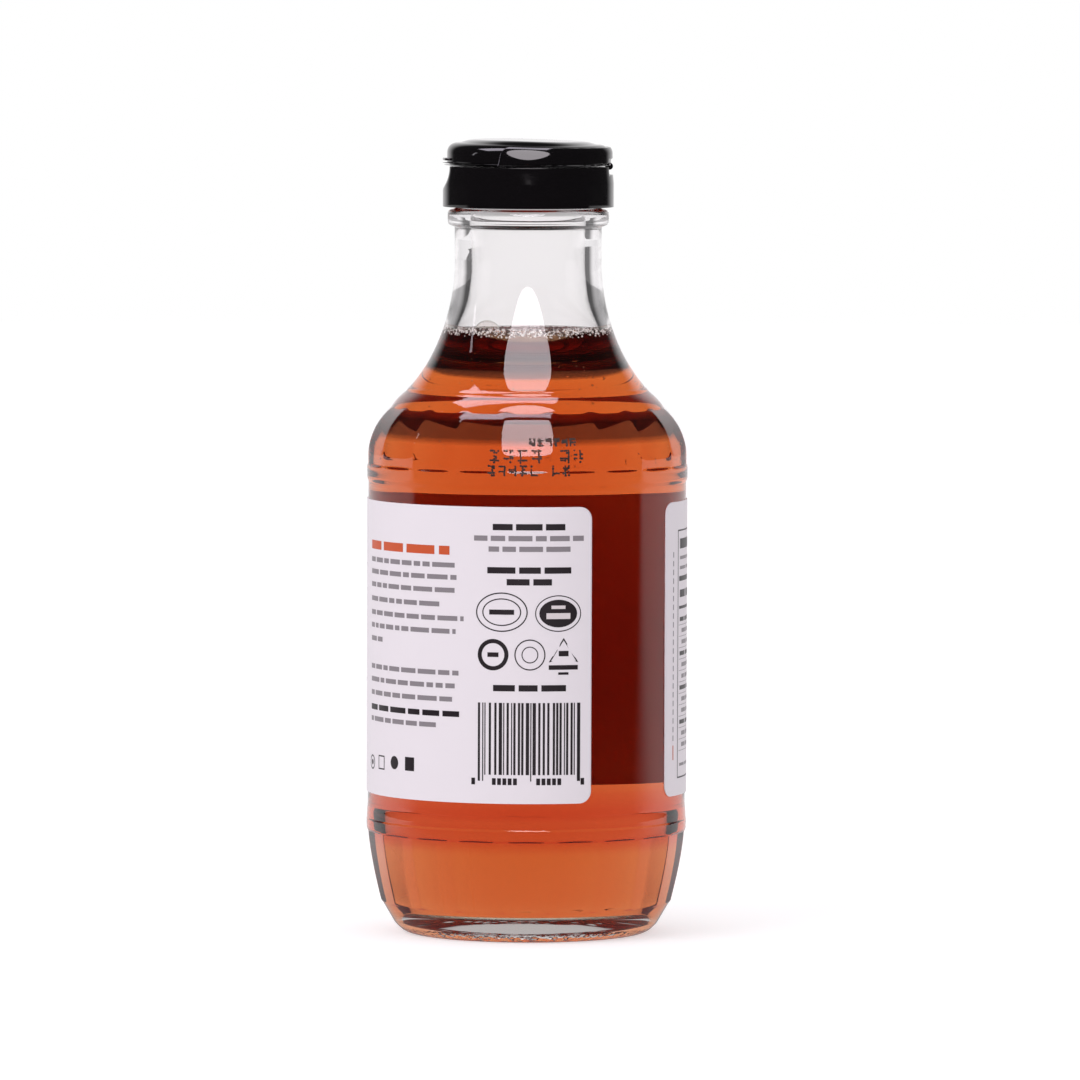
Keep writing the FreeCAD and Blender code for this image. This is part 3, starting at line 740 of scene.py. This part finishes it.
# the barcode: plain bars of made-up widths
at, k = -11.7, 0
widths = rng.choice([0.27, 0.27, 0.54, 0.54, 0.8], 70)
while at < 12.9:
    w = widths[k % 70]
    guard = k < 2 or abs(at - 0.6) < 0.7 or at > 11.9
    black.bar(at, at + w, 46.6, 65.3 if guard else 63.8)
    at += w + widths[(k + 31) % 70]
    k += 1
for start, cells in ((-13.3, 1), (-8.2, 5), (2.4, 5), (13.2, 1)):
    for k in range(cells):
        black.bar(start + 1.27 * k, start + 1.27 * k + 0.92, 64.6, 66.2)

# the left panel
LEFT = -50.2
orange.words(LEFT, -19.2, 10.6, 2.1, 11, 6.0, 11.0, 1.3)
ends = (-17.8, -17.3, -17.8, -22.0, -15.4, -17.5, -41.6)
for k, (d, end) in enumerate(zip((14.1, 17.0, 20.1, 23.5, 26.8, 29.9, 33.1), ends)):
    grey.words(LEFT, end, d, 1.15, 20 + k, 1.8, 6.0, 0.75)
ends = (-16.7, -16.5, -18.4, -16.5, -22.9)
for k, (d, end) in enumerate(zip((39.8, 42.9, 46.1, 49.6, 52.4), ends)):
    if k == 3:
        black.words(LEFT, end, d, 1.35, 30 + k, 3.0, 6.5, 0.9)
    else:
        grey.words(LEFT, end, d, 1.15, 30 + k, 1.8, 6.0, 0.75)
black.ring(-49.2, 63.0, 1.75, 1.75, 0.35)
black.disc(-49.2, 63.0, 0.7, 0.7)
black.frame(-44.9, -41.6, 61.0, 64.4, 0.32)
black.disc(-37.0, 62.3, 1.6, 1.6)
black.bar(-32.8, -29.6, 60.6, 63.9)

# the right panel, seen at the edge past the gap: a narrow line, then a framed table
orange.bar(44.0, 44.5, 58.5, 62.0)
for k in range(22):
    grey.bar(44.0, 44.45, 12.0 + k * 2.1, 13.3 + k * 2.1)
black.frame(47.0, 82.0, 6.8, 66.6, 0.35)
black.words(48.6, 72.0, 10.2, 2.4, 50, 7.0, 12.0, 1.3)
grey.words(48.6, 76.0, 13.6, 0.8, 51, 2.5, 7.0, 0.8)
grey.words(48.6, 70.0, 16.0, 0.8, 52, 2.5, 7.0, 0.8)
black.bar(48.0, 81.0, 18.0, 19.2)
black.words(48.6, 62.0, 22.2, 1.8, 53, 5.0, 9.0, 1.0)
black.words(71.0, 80.0, 22.2, 2.4, 54, 5.0, 9.0, 1.0)
black.bar(48.0, 81.0, 25.2, 25.9)
for k in range(12):
    d = 28.4 + k * 2.75
    shade, start = (black, 48.6) if k % 3 == 0 else (grey, 50.2)
    shade.words(start, 64.0 + (k * 5) % 7, d, 1.0, 60 + k, 2.5, 6.5, 0.8)
    black.words(77.0, 80.4, d, 1.0, 80 + k, 2.0, 4.0, 0.8)
    grey.bar(48.0, 81.0, d + 1.3, d + 1.42)
grey.words(48.6, 78.0, 63.4, 0.7, 95, 2.5, 6.0, 0.8)

# the far side: a plain broad panel of the same colours
orange.bar(88.0, 155.0, 22.0, 44.0)
black.bar(88.0, 155.0, 19.2, 20.2)
black.bar(88.0, 155.0, 45.8, 46.8)
pale.words(98.0, 145.0, 30.0, 4.6, 100, 12.0, 22.0, 3.0)
pale.words(104.0, 139.0, 37.6, 2.2, 101, 8.0, 14.0, 2.0)
black.words(100.0, 143.0, 8.5, 2.6, 102, 8.0, 14.0, 2.0)
grey.words(106.0, 137.0, 13.2, 1.2, 103, 4.0, 9.0, 1.2)
black.ring(121.5, 55.5, 5.2, 4.4, 0.4)
black.disc(121.5, 55.5, 3.6, 2.9)
grey.words(104.0, 139.0, 63.6, 1.2, 104, 4.0, 9.0, 1.2)
grey.words(-82.0, -62.0, 12.0, 0.8, 110, 2.5, 7.0, 0.8)
for k in range(14):
    grey.words(-82.0, -60.0 - (k * 5) % 9, 16.0 + 3.1 * k, 0.72, 111 + k, 2.0, 6.0, 0.8)

for shade, name, material in ((black, "black", black_ink), (grey, "grey", grey_ink),
                              (orange, "orange", orange_ink), (pale, "pale", pale_ink)):
    shade.build("label_print_" + name, material)


# ------------------------------------------------------------ date code on the shoulder
def outer_radius_at(angle, z):
    """The glass's outer radius at scattered points, linear between its rows and columns."""
    rows = np.flatnonzero((outer_height[:, 0] > 105) & (outer_height[:, 0] < 131))
    rows = rows[np.argsort(outer_height[rows, 0])]
    heights, table = outer_height[rows, 0], outer_radius[rows]
    i = np.clip(np.searchsorted(heights, z) - 1, 0, len(rows) - 2)
    up = (z - heights[i]) / (heights[i + 1] - heights[i])
    start = ANGLE - ANGLE[0]
    turn = (angle - ANGLE[0]) % (2 * np.pi)
    j = np.clip(np.searchsorted(start, turn, side="right") - 1, 0, len(start) - 1)
    k = (j + 1) % len(start)
    part = (turn - start[j]) / np.where(k == 0, 2 * np.pi - start[j], start[k] - start[j])
    low = table[i, j] + (table[i, k] - table[i, j]) * part
    high = table[i + 1, j] + (table[i + 1, k] - table[i + 1, j]) * part
    return low + (high - low) * up


CODE_RADIUS = 37.5                       # turns millimetres along a line into an angle
dots = []
for z_top, s_from, cells, pitch, tall, wide, apart, blank in (
        (121.0, 0.6, 6, 1.95, 5, 4, 0.36, ()), (118.3, -8.6, 7, 3.3, 7, 5, 0.46, (4,)),
        (114.6, -9.0, 8, 2.5, 6, 4, 0.42, (5,))):
    for cell in range(cells):
        if cell in blank:
            continue
        # strokes of dots with no meaning: one or two whole columns and rows of the cell
        on = rng.random((tall, wide)) < 0.10
        on[:, rng.integers(0, wide)] |= rng.random(tall) < 0.9
        on[rng.integers(0, tall)] |= rng.random(wide) < 0.95
        on[rng.integers(0, tall)] |= rng.random(wide) < 0.95
        up, along = np.nonzero(on)
        dots.append(np.stack([s_from + cell * pitch + along * apart + rng.normal(0, 0.04, len(up)),
                              z_top - up * apart + rng.normal(0, 0.04, len(up)),
                              rng.uniform(0.23, 0.32, len(up))], -1))
dots = np.concatenate(dots)
n = 7
t = np.arange(n) * 2 * np.pi / n
s = np.concatenate([dots[:, :1], dots[:, :1] + dots[:, 2:] * np.cos(t)], 1).ravel()
z = np.concatenate([dots[:, 1:2], dots[:, 1:2] + dots[:, 2:] * np.sin(t)], 1).ravel()
angle = s / CODE_RADIUS
fans = (fan_faces(0, 1, n) + (np.arange(len(dots)) * (n + 1))[:, None, None]).reshape(-1, 3)
make_object("date_code_dots", polar(outer_radius_at(angle, z) + 0.02, angle, z), [fans], [code_ink],
            "bottle")

# ------------------------------------------------------------ the cap
CAP_ANGLE = np.radians(np.arange(0, 360, 0.75))
TAB = math.radians(270.0)                # -X


def toward(angle, target):
    """Signed difference of two angles, between -pi and pi."""
    return (angle - target + np.pi) % (2 * np.pi) - np.pi


def at_hinge(x, y):
    """1 on the hinge's side within 5.8 mm of its middle, 0 beyond 6 mm."""
    return smooth_step(-np.abs(y), -6.0, -5.8) * (x > 0)


def rounded(points, radius, count=6):
    """A polyline whose inner corners are cut with arcs: each corner is replaced by a
    quadratic curve between the points radius before and after it."""
    points = np.asarray(points, float)
    out = [points[0][None]]
    for a, b, c in zip(points[:-2], points[1:-1], points[2:]):
        d0, d1 = np.linalg.norm(b - a), np.linalg.norm(c - b)
        r = min(radius, 0.45 * d0, 0.45 * d1)
        p, q = b + (a - b) * r / d0, b + (c - b) * r / d1
        u = np.linspace(0, 1, count)[:, None]
        out.append((1 - u) ** 2 * p + 2 * u * (1 - u) * b + u ** 2 * q)
    out.append(points[-1][None])
    return np.concatenate(out)


def fill_in(points, longest):
    """Adds points so that no step of the polyline is longer than longest."""
    out = [points[0]]
    for a, b in zip(points[:-1], points[1:]):
        n = max(1, int(math.ceil(np.linalg.norm(b - a) / longest)))
        out.extend(a + (b - a) * (k / n) for k in range(1, n + 1))
    return np.array(out)


skirt = base_low[2]
TOP_RADIUS, HOLE_RADIUS, BORE_RADIUS = 20.3, 3.2, 18.0
OUTER_WALL = 19.2                        # what lies further out belongs to the outer wall
base_line = rounded([(HOLE_RADIUS, DECK), (HOLE_RADIUS, LIP + 0.05), (BORE_RADIUS, LIP + 0.05),
                     (BORE_RADIUS, skirt), (SKIRT_RADIUS, skirt), (SKIRT_RADIUS, DECK - 4.1),
                     (TOP_RADIUS, DECK - 1.0), (TOP_RADIUS, DECK), (HOLE_RADIUS, DECK)], 0.10)
base_line = fill_in(base_line, 0.9)
# close rows on the outer wall, where the scoop and the notch lie
wall = (base_line[:, 0] > 20.0) & (base_line[:, 1] > skirt + 0.3) & (base_line[:, 1] < DECK - 0.25)
first, last = np.flatnonzero(wall)[[0, -1]]
part = base_line[first:last + 1]
fine = np.interp(np.linspace(0, 1, 46), np.linspace(0, 1, len(part)), part[:, 1])
fine_r = np.interp(fine, part[:, 1], part[:, 0])
base_line = np.concatenate([base_line[:first], np.stack([fine_r, fine], -1), base_line[last + 1:]])
base_r = np.repeat(base_line[:, :1], len(CAP_ANGLE), 1)
base_z = np.repeat(base_line[:, 1:2], len(CAP_ANGLE), 1)
x, y = base_r * np.sin(CAP_ANGLE), -base_r * np.cos(CAP_ANGLE)
outside = base_line[:, :1] > OUTER_WALL
# the thumb scoop: a cylinder across Y, sunk into the top edge
SCOOP_RADIUS, SCOOP_DEPTH, SCOOP_HALF_ANGLE = 9.5, 1.35, 0.45
depth_low, depth_top = -(SKIRT_RADIUS + 0.05), -(TOP_RADIUS - SCOOP_DEPTH)
z_low, z_top = DECK + 0.15 - 5.6, DECK + 0.55
chord = np.array([depth_top - depth_low, z_top - z_low])
half_chord = np.linalg.norm(chord) / 2
middle = np.array([(depth_low + depth_top) / 2, (z_low + z_top) / 2])
side_way = np.array([-chord[1], chord[0]]) / np.linalg.norm(chord)
centre = middle + side_way * math.sqrt(SCOOP_RADIUS ** 2 - half_chord ** 2)
reach = centre[0] + np.sqrt(np.clip(SCOOP_RADIUS ** 2 - (base_z - centre[1]) ** 2, 0, None))
limit = np.where(base_z > z_low - 0.2, reach, -99.0)
soft_edge = 0.12
target = soft_edge * np.logaddexp(x / soft_edge, limit / soft_edge)
scooped = (outside & (np.abs(toward(CAP_ANGLE[None, :], TAB)) < SCOOP_HALF_ANGLE)
           & (base_z > z_low - 1.5))
x = np.where(scooped, target, x)
# the hinge notch: the wall stands back over 11.8 mm, down to 1.9 mm below the seam
NOTCH_X = 18.4
notch = smooth_step(base_z, SEAM - 2.0, SEAM - 1.8) * at_hinge(x, y)
x = np.where(outside & (x > NOTCH_X), x + (NOTCH_X - x) * notch, x)
base_points = np.stack([x, y, base_z], -1)[:-1]
rows, cols = base_points.shape[:2]
# one row more than there is, taken round to the first, closes the section
ring_faces = grid_faces(rows + 1, cols, True) % (rows * cols)
cap_base = make_object("cap_base_moulding", base_points, [ring_faces], [cap_plastic],
                       "bottle")
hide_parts("cap_base")

# the lid: a shell turned about the axis; a proud face with a rounded upper corner covers
# its rear, and the front and the rim stand 0.7 mm behind that face
fine_step = np.arange(-36.0, -6.0, 0.24)
LID_ANGLE = np.radians(np.concatenate([fine_step, np.arange(-6.0, 186.0, 0.8),
                                       180.0 - fine_step[::-1], np.arange(216.0, 323.8, 0.8)]))
top, rim_r, low = LID_TOP, TOP_RADIUS, SEAM + 0.15


def lid_profile(across, down):
    """The lid's section: the hollow, the lower edge, the wall, and a rim whose curve is
    across wide and down high, each part of it cos or sin to the power 0.88."""
    bend = np.radians(np.linspace(2, 90, 46))
    return np.concatenate([
        [[0.0, top - 1.6]], np.linspace((1.5, top - 1.6), (15.0, top - 2.3), 8),
        [[16.8, top - 3.4]], np.linspace((18.5, top - 4.8), (18.7, low), 4),
        rounded([(18.7, low), (rim_r, low), (rim_r, low + 0.6)], 0.08, 4)[1:],
        np.stack([np.full(12, rim_r), np.linspace(low + 0.3, top - down, 13)[1:]], -1),
        np.stack([rim_r - across + across * np.cos(bend) ** 0.88,
                  top - down + down * np.sin(bend) ** 0.88], -1),
        np.stack([np.linspace(rim_r - across - 0.6, 0.6, 12), np.full(12, top)], -1), [[0.0, top]]])


# a long soft rim at the front and the back, a tighter one at the sides
lid_line = lid_profile(6.6, 5.1)
tight = lid_profile(3.6, 3.4)
share = np.cos(LID_ANGLE)[None, :] ** 2
lid_r = lid_line[:, :1] * share + tight[:, :1] * (1 - share)
lid_z = lid_line[:, 1:2] * share + tight[:, 1:2] * (1 - share)
x, y = lid_r * np.sin(LID_ANGLE), -lid_r * np.cos(LID_ANGLE)
FIRST_OUTSIDE = 17                       # the profile's rows before it are the hollow
outside = (np.arange(len(lid_line)) >= FIRST_OUTSIDE)[:, None] & np.ones(lid_r.shape, bool)
lift = np.clip((lid_z - low) / (top - low), 0, 1)
# distance inside the proud face: a rectangle from the leaning line x = -7.4 + 1.2 lift and
# below top - 1.15, its corner rounded by 2.1 mm
from_line, from_top = x - (-7.4 + 1.2 * lift), (top - 1.15) - lid_z
turn_by = 2.1
corner_gap = np.hypot(np.maximum(turn_by - from_line, 0), np.maximum(turn_by - from_top, 0))
within_face = turn_by - corner_gap + np.maximum(np.minimum(from_line, from_top) - turn_by, 0)
proud = smooth_step(within_face, -0.2, 0.2)
front = smooth_step(-from_line, -0.2, 0.2)
side = smooth_step(lid_r, 13.5, 17.0)
slope_r, slope_z = np.gradient(lid_line[:, 0]), np.gradient(lid_line[:, 1])
length = np.hypot(slope_r, slope_z) + 1e-9
inset = np.where(outside, 0.7 * (1 - proud) * side, 0)
lower_edge = np.clip(1 - (lid_z - low) / 0.75, 0, 1)
grip = np.where(outside, 0.75 * front * smooth_step(lower_edge, 0.1, 0.7) * side, 0)
# the whole top falls 0.46 mm toward the hinge
fall = 0.46 * smooth_step(x, -8.0, 15.0) * smooth_step(lid_z, low + 1.5, top - 0.3)
drop = np.where(outside, fall, 0)
back_r = (slope_z / length)[:, None] * inset + grip
back_z = (-slope_r / length)[:, None] * inset
lid_radius = np.maximum(lid_r - back_r, 0)
lid_height = lid_z - back_z - drop
# the window for the hinge
BEHIND_BEAD = 19.9
opening = smooth_step(-lid_height, -(SEAM + 1.75), -(SEAM + 1.6)) * at_hinge(x, y)
lid_radius = np.where(outside & (lid_radius > BEHIND_BEAD),
                      lid_radius + (BEHIND_BEAD - lid_radius) * opening, lid_radius)
lid = closed_turned("flip_lid_moulding", lid_radius, lid_height, LID_ANGLE,
                    [cap_plastic, painted_highlight_plastic], "lid")
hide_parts("flip_lid")
# a painted highlight along the proud face's left edge and corner: its faces take the lighter
# plastic
on_edge = (np.abs(within_face) < 0.2) & (x < 1.0) & (y < 0) & outside
corners = np.pad(on_edge[1:-1], ((0, 0), (0, 1)), mode="wrap")
quads = corners[:-1, :-1] & corners[1:, :-1] & corners[:-1, 1:] & corners[1:, 1:]
index = np.zeros(len(lid.data.polygons), np.int32)
index[:quads.size] = quads.ravel()
lid.data.polygons.foreach_set("material_index", index)


def bent_bar(name, radius_in, radius_out, low_z, high_z, half_angle, middle, body, round_by=0.2):
    """A bar bent round the axis: a rounded rectangle carried along an arc, its ends
    drawn in over the last steps."""
    seam = (radius_in, (low_z + high_z) / 2)
    section = rounded([seam, (radius_in, low_z), (radius_out, low_z), (radius_out, high_z),
                       (radius_in, high_z), seam], round_by, 5)[:-1]
    u = np.linspace(-1, 1, 41)
    draw = np.sqrt(np.clip(1 - np.clip((np.abs(u) - 0.93) / 0.07, 0, 1) ** 2, 0, 1))
    centre = section.mean(0)
    angle = middle + half_angle * u
    out = centre + (section[None] - centre) * np.maximum(draw, 0.02)[:, None, None]
    points = polar(out[..., 0], angle[:, None], out[..., 1])
    rows, cols = points.shape[:2]
    faces = grid_faces(rows, cols, True)[:, ::-1]
    ends = [np.arange(cols)[None, :], (rows - 1) * cols + np.arange(cols)[None, ::-1]]
    return make_object(name, points, [faces] + ends, [cap_plastic], body)


bent_bar("thumb_tab", 18.4, 20.65, SEAM + 1.25, SEAM + 1.85, math.radians(16), TAB, "lid")

# the hinge bead with rounded ends, along Y
u = np.radians(np.linspace(-90, 90, 13))
t = np.radians(np.arange(0, 360, 15.0))
HINGE_X, BEAD_RADIUS = 19.5, 0.84
bead_y = np.concatenate([-4.6 + 0.4 * np.sin(u[:7]), 4.6 + 0.4 * np.sin(u[6:])])
bead_r = BEAD_RADIUS * np.concatenate([np.cos(u[:7]), np.cos(u[6:])])
bead = np.stack([HINGE_X + bead_r[:, None] * np.cos(t), np.broadcast_to(bead_y[:, None], (14, 24)),
                 SEAM + bead_r[:, None] * np.sin(t)], -1)
make_object("hinge_bead", pole_points(bead), [f[:, ::-1] for f in pole_faces(12, len(t))],
            [cap_plastic], "lid")

# ------------------------------------------------------------ floor, light and camera
# Light Path tells the rays apart: one that went through glass has a Transmission Depth
# of 2 or more, and one that also crossed the syrup has 5 or more
GLASS_DEPTH, SYRUP_DEPTH = 1.5, 4.5
LEAST_IN_GLASS, MORE_IN_SYRUP = 0.16, 0.34       # how dark the studio may get in there


def staged(tree, kind, coordinates):
    """Clears a node tree; gives its output, the ray's history, the place and its x, y, z."""
    tree.nodes.clear()
    output = add(tree, kind).inputs["Surface"]
    place = add(tree, "ShaderNodeTexCoord").outputs[coordinates]
    parts = add(tree, "ShaderNodeSeparateXYZ", place).outputs
    return output, add(tree, "ShaderNodeLightPath").outputs, place, parts


floor_material = bpy.data.materials.new("pale_floor")
floor_material.use_nodes = True
tree = floor_material.node_tree
output, path, place, parts = staged(tree, "ShaderNodeOutputMaterial", "Object")
away = add(tree, "ShaderNodeVectorMath", place, operation="LENGTH").outputs["Value"]
crossed = path["Transmission Depth"]
# seen directly it is white, and it keeps the bottle's shadow
matt = add(tree, "ShaderNodeBsdfDiffuse", Color=(0.80, 0.79, 0.80, 1))
glow = add(tree, "ShaderNodeEmission", Color=(1, 0.99, 1, 1), Strength=0.53)
white = add(tree, "ShaderNodeAddShader", matt.outputs[0], glow.outputs[0])
# a mirrored ray finds it pale behind the bottle and dark before it; light that was
# mirrored inside the glass finds it grey near the bottle, painted shade
behind = ranged(tree, parts["Y"], -0.10, 0.12, 0.03, 0.9)
in_syrup = over(tree, crossed, SYRUP_DEPTH)
least = maths(tree, "ADD", times(tree, in_syrup, MORE_IN_SYRUP), LEAST_IN_GLASS)
grey_near = maths(tree, "MINIMUM", maths(tree, "MAXIMUM", behind, least),
                  ranged(tree, away, 0.3, 1.0, 0.5, 1.0))
level = ranged(tree, over(tree, crossed, GLASS_DEPTH), 0.0, 1.0, behind, grey_near, "LINEAR")
mirrored = add(tree, "ShaderNodeEmission", Color=(1, 0.99, 1, 1), Strength=level)
# a refracted ray finds it white, but dark where the bottle stands, a painted shadow, and
# greyer near the bottle if it crossed glass only, painted shade
no_syrup = maths(tree, "LESS_THAN", crossed, SYRUP_DEPTH)
near = times(tree, no_syrup, ranged(tree, away, 0.5, 1.5, 0.5, 0.0))
refracted = add(tree, "ShaderNodeEmission", Color=(1, 1, 1, 1), Strength=times(
    tree, ranged(tree, away, 0.030, 0.042, 0.22, 1.0), maths(tree, "SUBTRACT", 1.0, near)))
# mirrored rays are taken first, then refracted ones
shown = mixed(tree, over(tree, path["Glossy Depth"], 0.5), white.outputs[0], mirrored.outputs[0])
only_refracted = times(tree, path["Is Transmission Ray"],
                       maths(tree, "LESS_THAN", path["Glossy Depth"], 0.5))
tree.links.new(mixed(tree, only_refracted, shown, refracted.outputs[0]), output)

# the floor is a disc: rings round the axis and a fan in the middle
t = np.radians(np.arange(0, 360, 3.0))
rings = np.array([20, 60, 120, 250, 600, 1500, 3500.0])
floor_points = polar(rings[:, None], t, 0.0).reshape(-1, 3)
floor = make_object("floor", np.concatenate([[[0, 0, 0]], floor_points]),
                    [grid_faces(len(rings), len(t), True)[:, ::-1] + 1, fan_faces(0, 1, len(t))],
                    [floor_material])
floor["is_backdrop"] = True

world = bpy.data.worlds.new("studio")
bpy.context.scene.world = world
world.use_nodes = True
tree = world.node_tree
output, path, place, parts = staged(tree, "ShaderNodeOutputWorld", "Generated")
crossed = path["Transmission Depth"]
in_glass = over(tree, crossed, GLASS_DEPTH)
in_syrup = over(tree, crossed, SYRUP_DEPTH)
# rays seen directly or only refracted see white; mirrored ones see the studio, pale
# behind the bottle. Inside the glass its dark part is lighter, inside the syrup lighter
# still, and light that was mirrored twice in the glass is halved
seen = add(tree, "ShaderNodeBackground", Color=(1, 1, 1, 1), Strength=1.0)
behind = ranged(tree, parts["Y"], 0.66, 0.90, 0.04, 1.0)
least = maths(tree, "ADD", times(tree, in_glass, LEAST_IN_GLASS),
              times(tree, in_syrup, MORE_IN_SYRUP))
twice = times(tree, in_glass, over(tree, path["Glossy Depth"], 1.5))
halved = maths(tree, "SUBTRACT", 1.0, times(tree, twice, 0.5))
# what is mirrored upward through glass alone, as in the thick base, is greyer
only_glass = times(tree, in_glass, maths(tree, "LESS_THAN", crossed, SYRUP_DEPTH),
                   over(tree, parts["Z"], 0.04))
greyer = maths(tree, "SUBTRACT", 1.0, times(tree, only_glass, 0.5))
tint = add(tree, "ShaderNodeMix", in_syrup, data_type="RGBA")
tint.inputs[6].default_value = (1, 0.985, 0.995, 1)
tint.inputs[7].default_value = (1.1, 1.15, 1.0, 1)
studio = add(tree, "ShaderNodeBackground", tint.outputs[2],
             times(tree, maths(tree, "MAXIMUM", behind, least), halved, greyer))
# scattered light comes from an even ambient, stronger inside the glass
ambient = add(tree, "ShaderNodeBackground", (1, 0.985, 1, 1),
              ranged(tree, in_glass, 0.0, 1.0, 0.62, 1.5))
shown = mixed(tree, over(tree, path["Glossy Depth"], 0.5), seen.outputs[0], studio.outputs[0])
tree.links.new(mixed(tree, over(tree, path["Diffuse Depth"], 0.5), shown, ambient.outputs[0]),
               output)


def area_light(name, place, aim, size_x, size_y, radiance, colour, diffuse=True, glossy=True,
               shape="RECTANGLE"):
    """A soft lamp that the camera and refracted rays don't see directly. Its power is
    pi x radiance x area."""
    data = bpy.data.lights.new(name, "AREA")
    data.shape = shape
    data.size, data.size_y = size_x, size_y
    data.energy = radiance * math.pi * size_x * size_y * (math.pi / 4 if shape == "ELLIPSE" else 1)
    data.color = colour
    lamp = bpy.data.objects.new(name, data)
    bpy.context.scene.collection.objects.link(lamp)
    lamp.location = place
    lamp.rotation_euler = (Vector(aim) - Vector(place)).to_track_quat("-Z", "Y").to_euler()
    lamp.visible_camera = False
    lamp.visible_transmission = False
    lamp.visible_diffuse = diffuse
    lamp.visible_glossy = glossy
    return lamp


# the long window over the front: a tilted panel that shows only as a reflection
near_end, far_end = Vector((0, -0.276, 1.436)), Vector((0, -2.72, 0.7184))
middle, along = (near_end + far_end) / 2, far_end - near_end
area_light("front_window", middle, middle + Vector((0, -along.z, along.y)), 1.34784,
           1.06 * along.length, 7.5, (1.0, 0.93, 0.98), diffuse=False, shape="ELLIPSE")
# a narrow upright strip far to the left draws thin lines along edges
area_light("left_strip", (-1.5, -0.12, 0.85), (0, 0, 0.15), 0.08, 0.6, 3.5, (0.97, 0.93, 1.0),
           diffuse=False)
# a lamp above, seen only as a reflection, and a large one that lights the front evenly
area_light("overhead", (-0.27, 0.20, 1.44), (-0.27, 0.20, 0), 1.15, 0.5, 6.0, (0.94, 0.88, 1.0),
           diffuse=False)
area_light("front_fill", (-1.25, -1.05, 0.9), (0, 0, 0.09), 1.2, 1.0, 2.59953, (1.0, 0.97, 1.0),
           glossy=False)

# the view: from the front and a little above, through a long lens, rolled by 0.2 degrees
camera_data = bpy.data.cameras.new("view")
camera = bpy.data.objects.new("view", camera_data)
bpy.context.scene.collection.objects.link(camera)
place = Vector((0.0031, -2.448, 0.250))
camera.location = place
aim = Vector((0.0031, 0, 0.0947))
camera.rotation_mode = "QUATERNION"
roll = Quaternion((0, 0, 1), math.radians(0.2))
camera.rotation_quaternion = (aim - place).to_track_quat("-Z", "Y") @ roll
camera_data.lens = 339
camera_data.sensor_width = 36
camera_data.clip_start, camera_data.clip_end = 0.1, 20
bpy.context.scene.camera = camera

scene = bpy.context.scene
scene.view_settings.view_transform = "Standard"
scene.cycles.max_bounces = 32
scene.cycles.transmission_bounces = 28
scene.cycles.glossy_bounces = 10
scene.cycles.volume_bounces = 2
scene.cycles.transparent_max_bounces = 16

low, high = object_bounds()
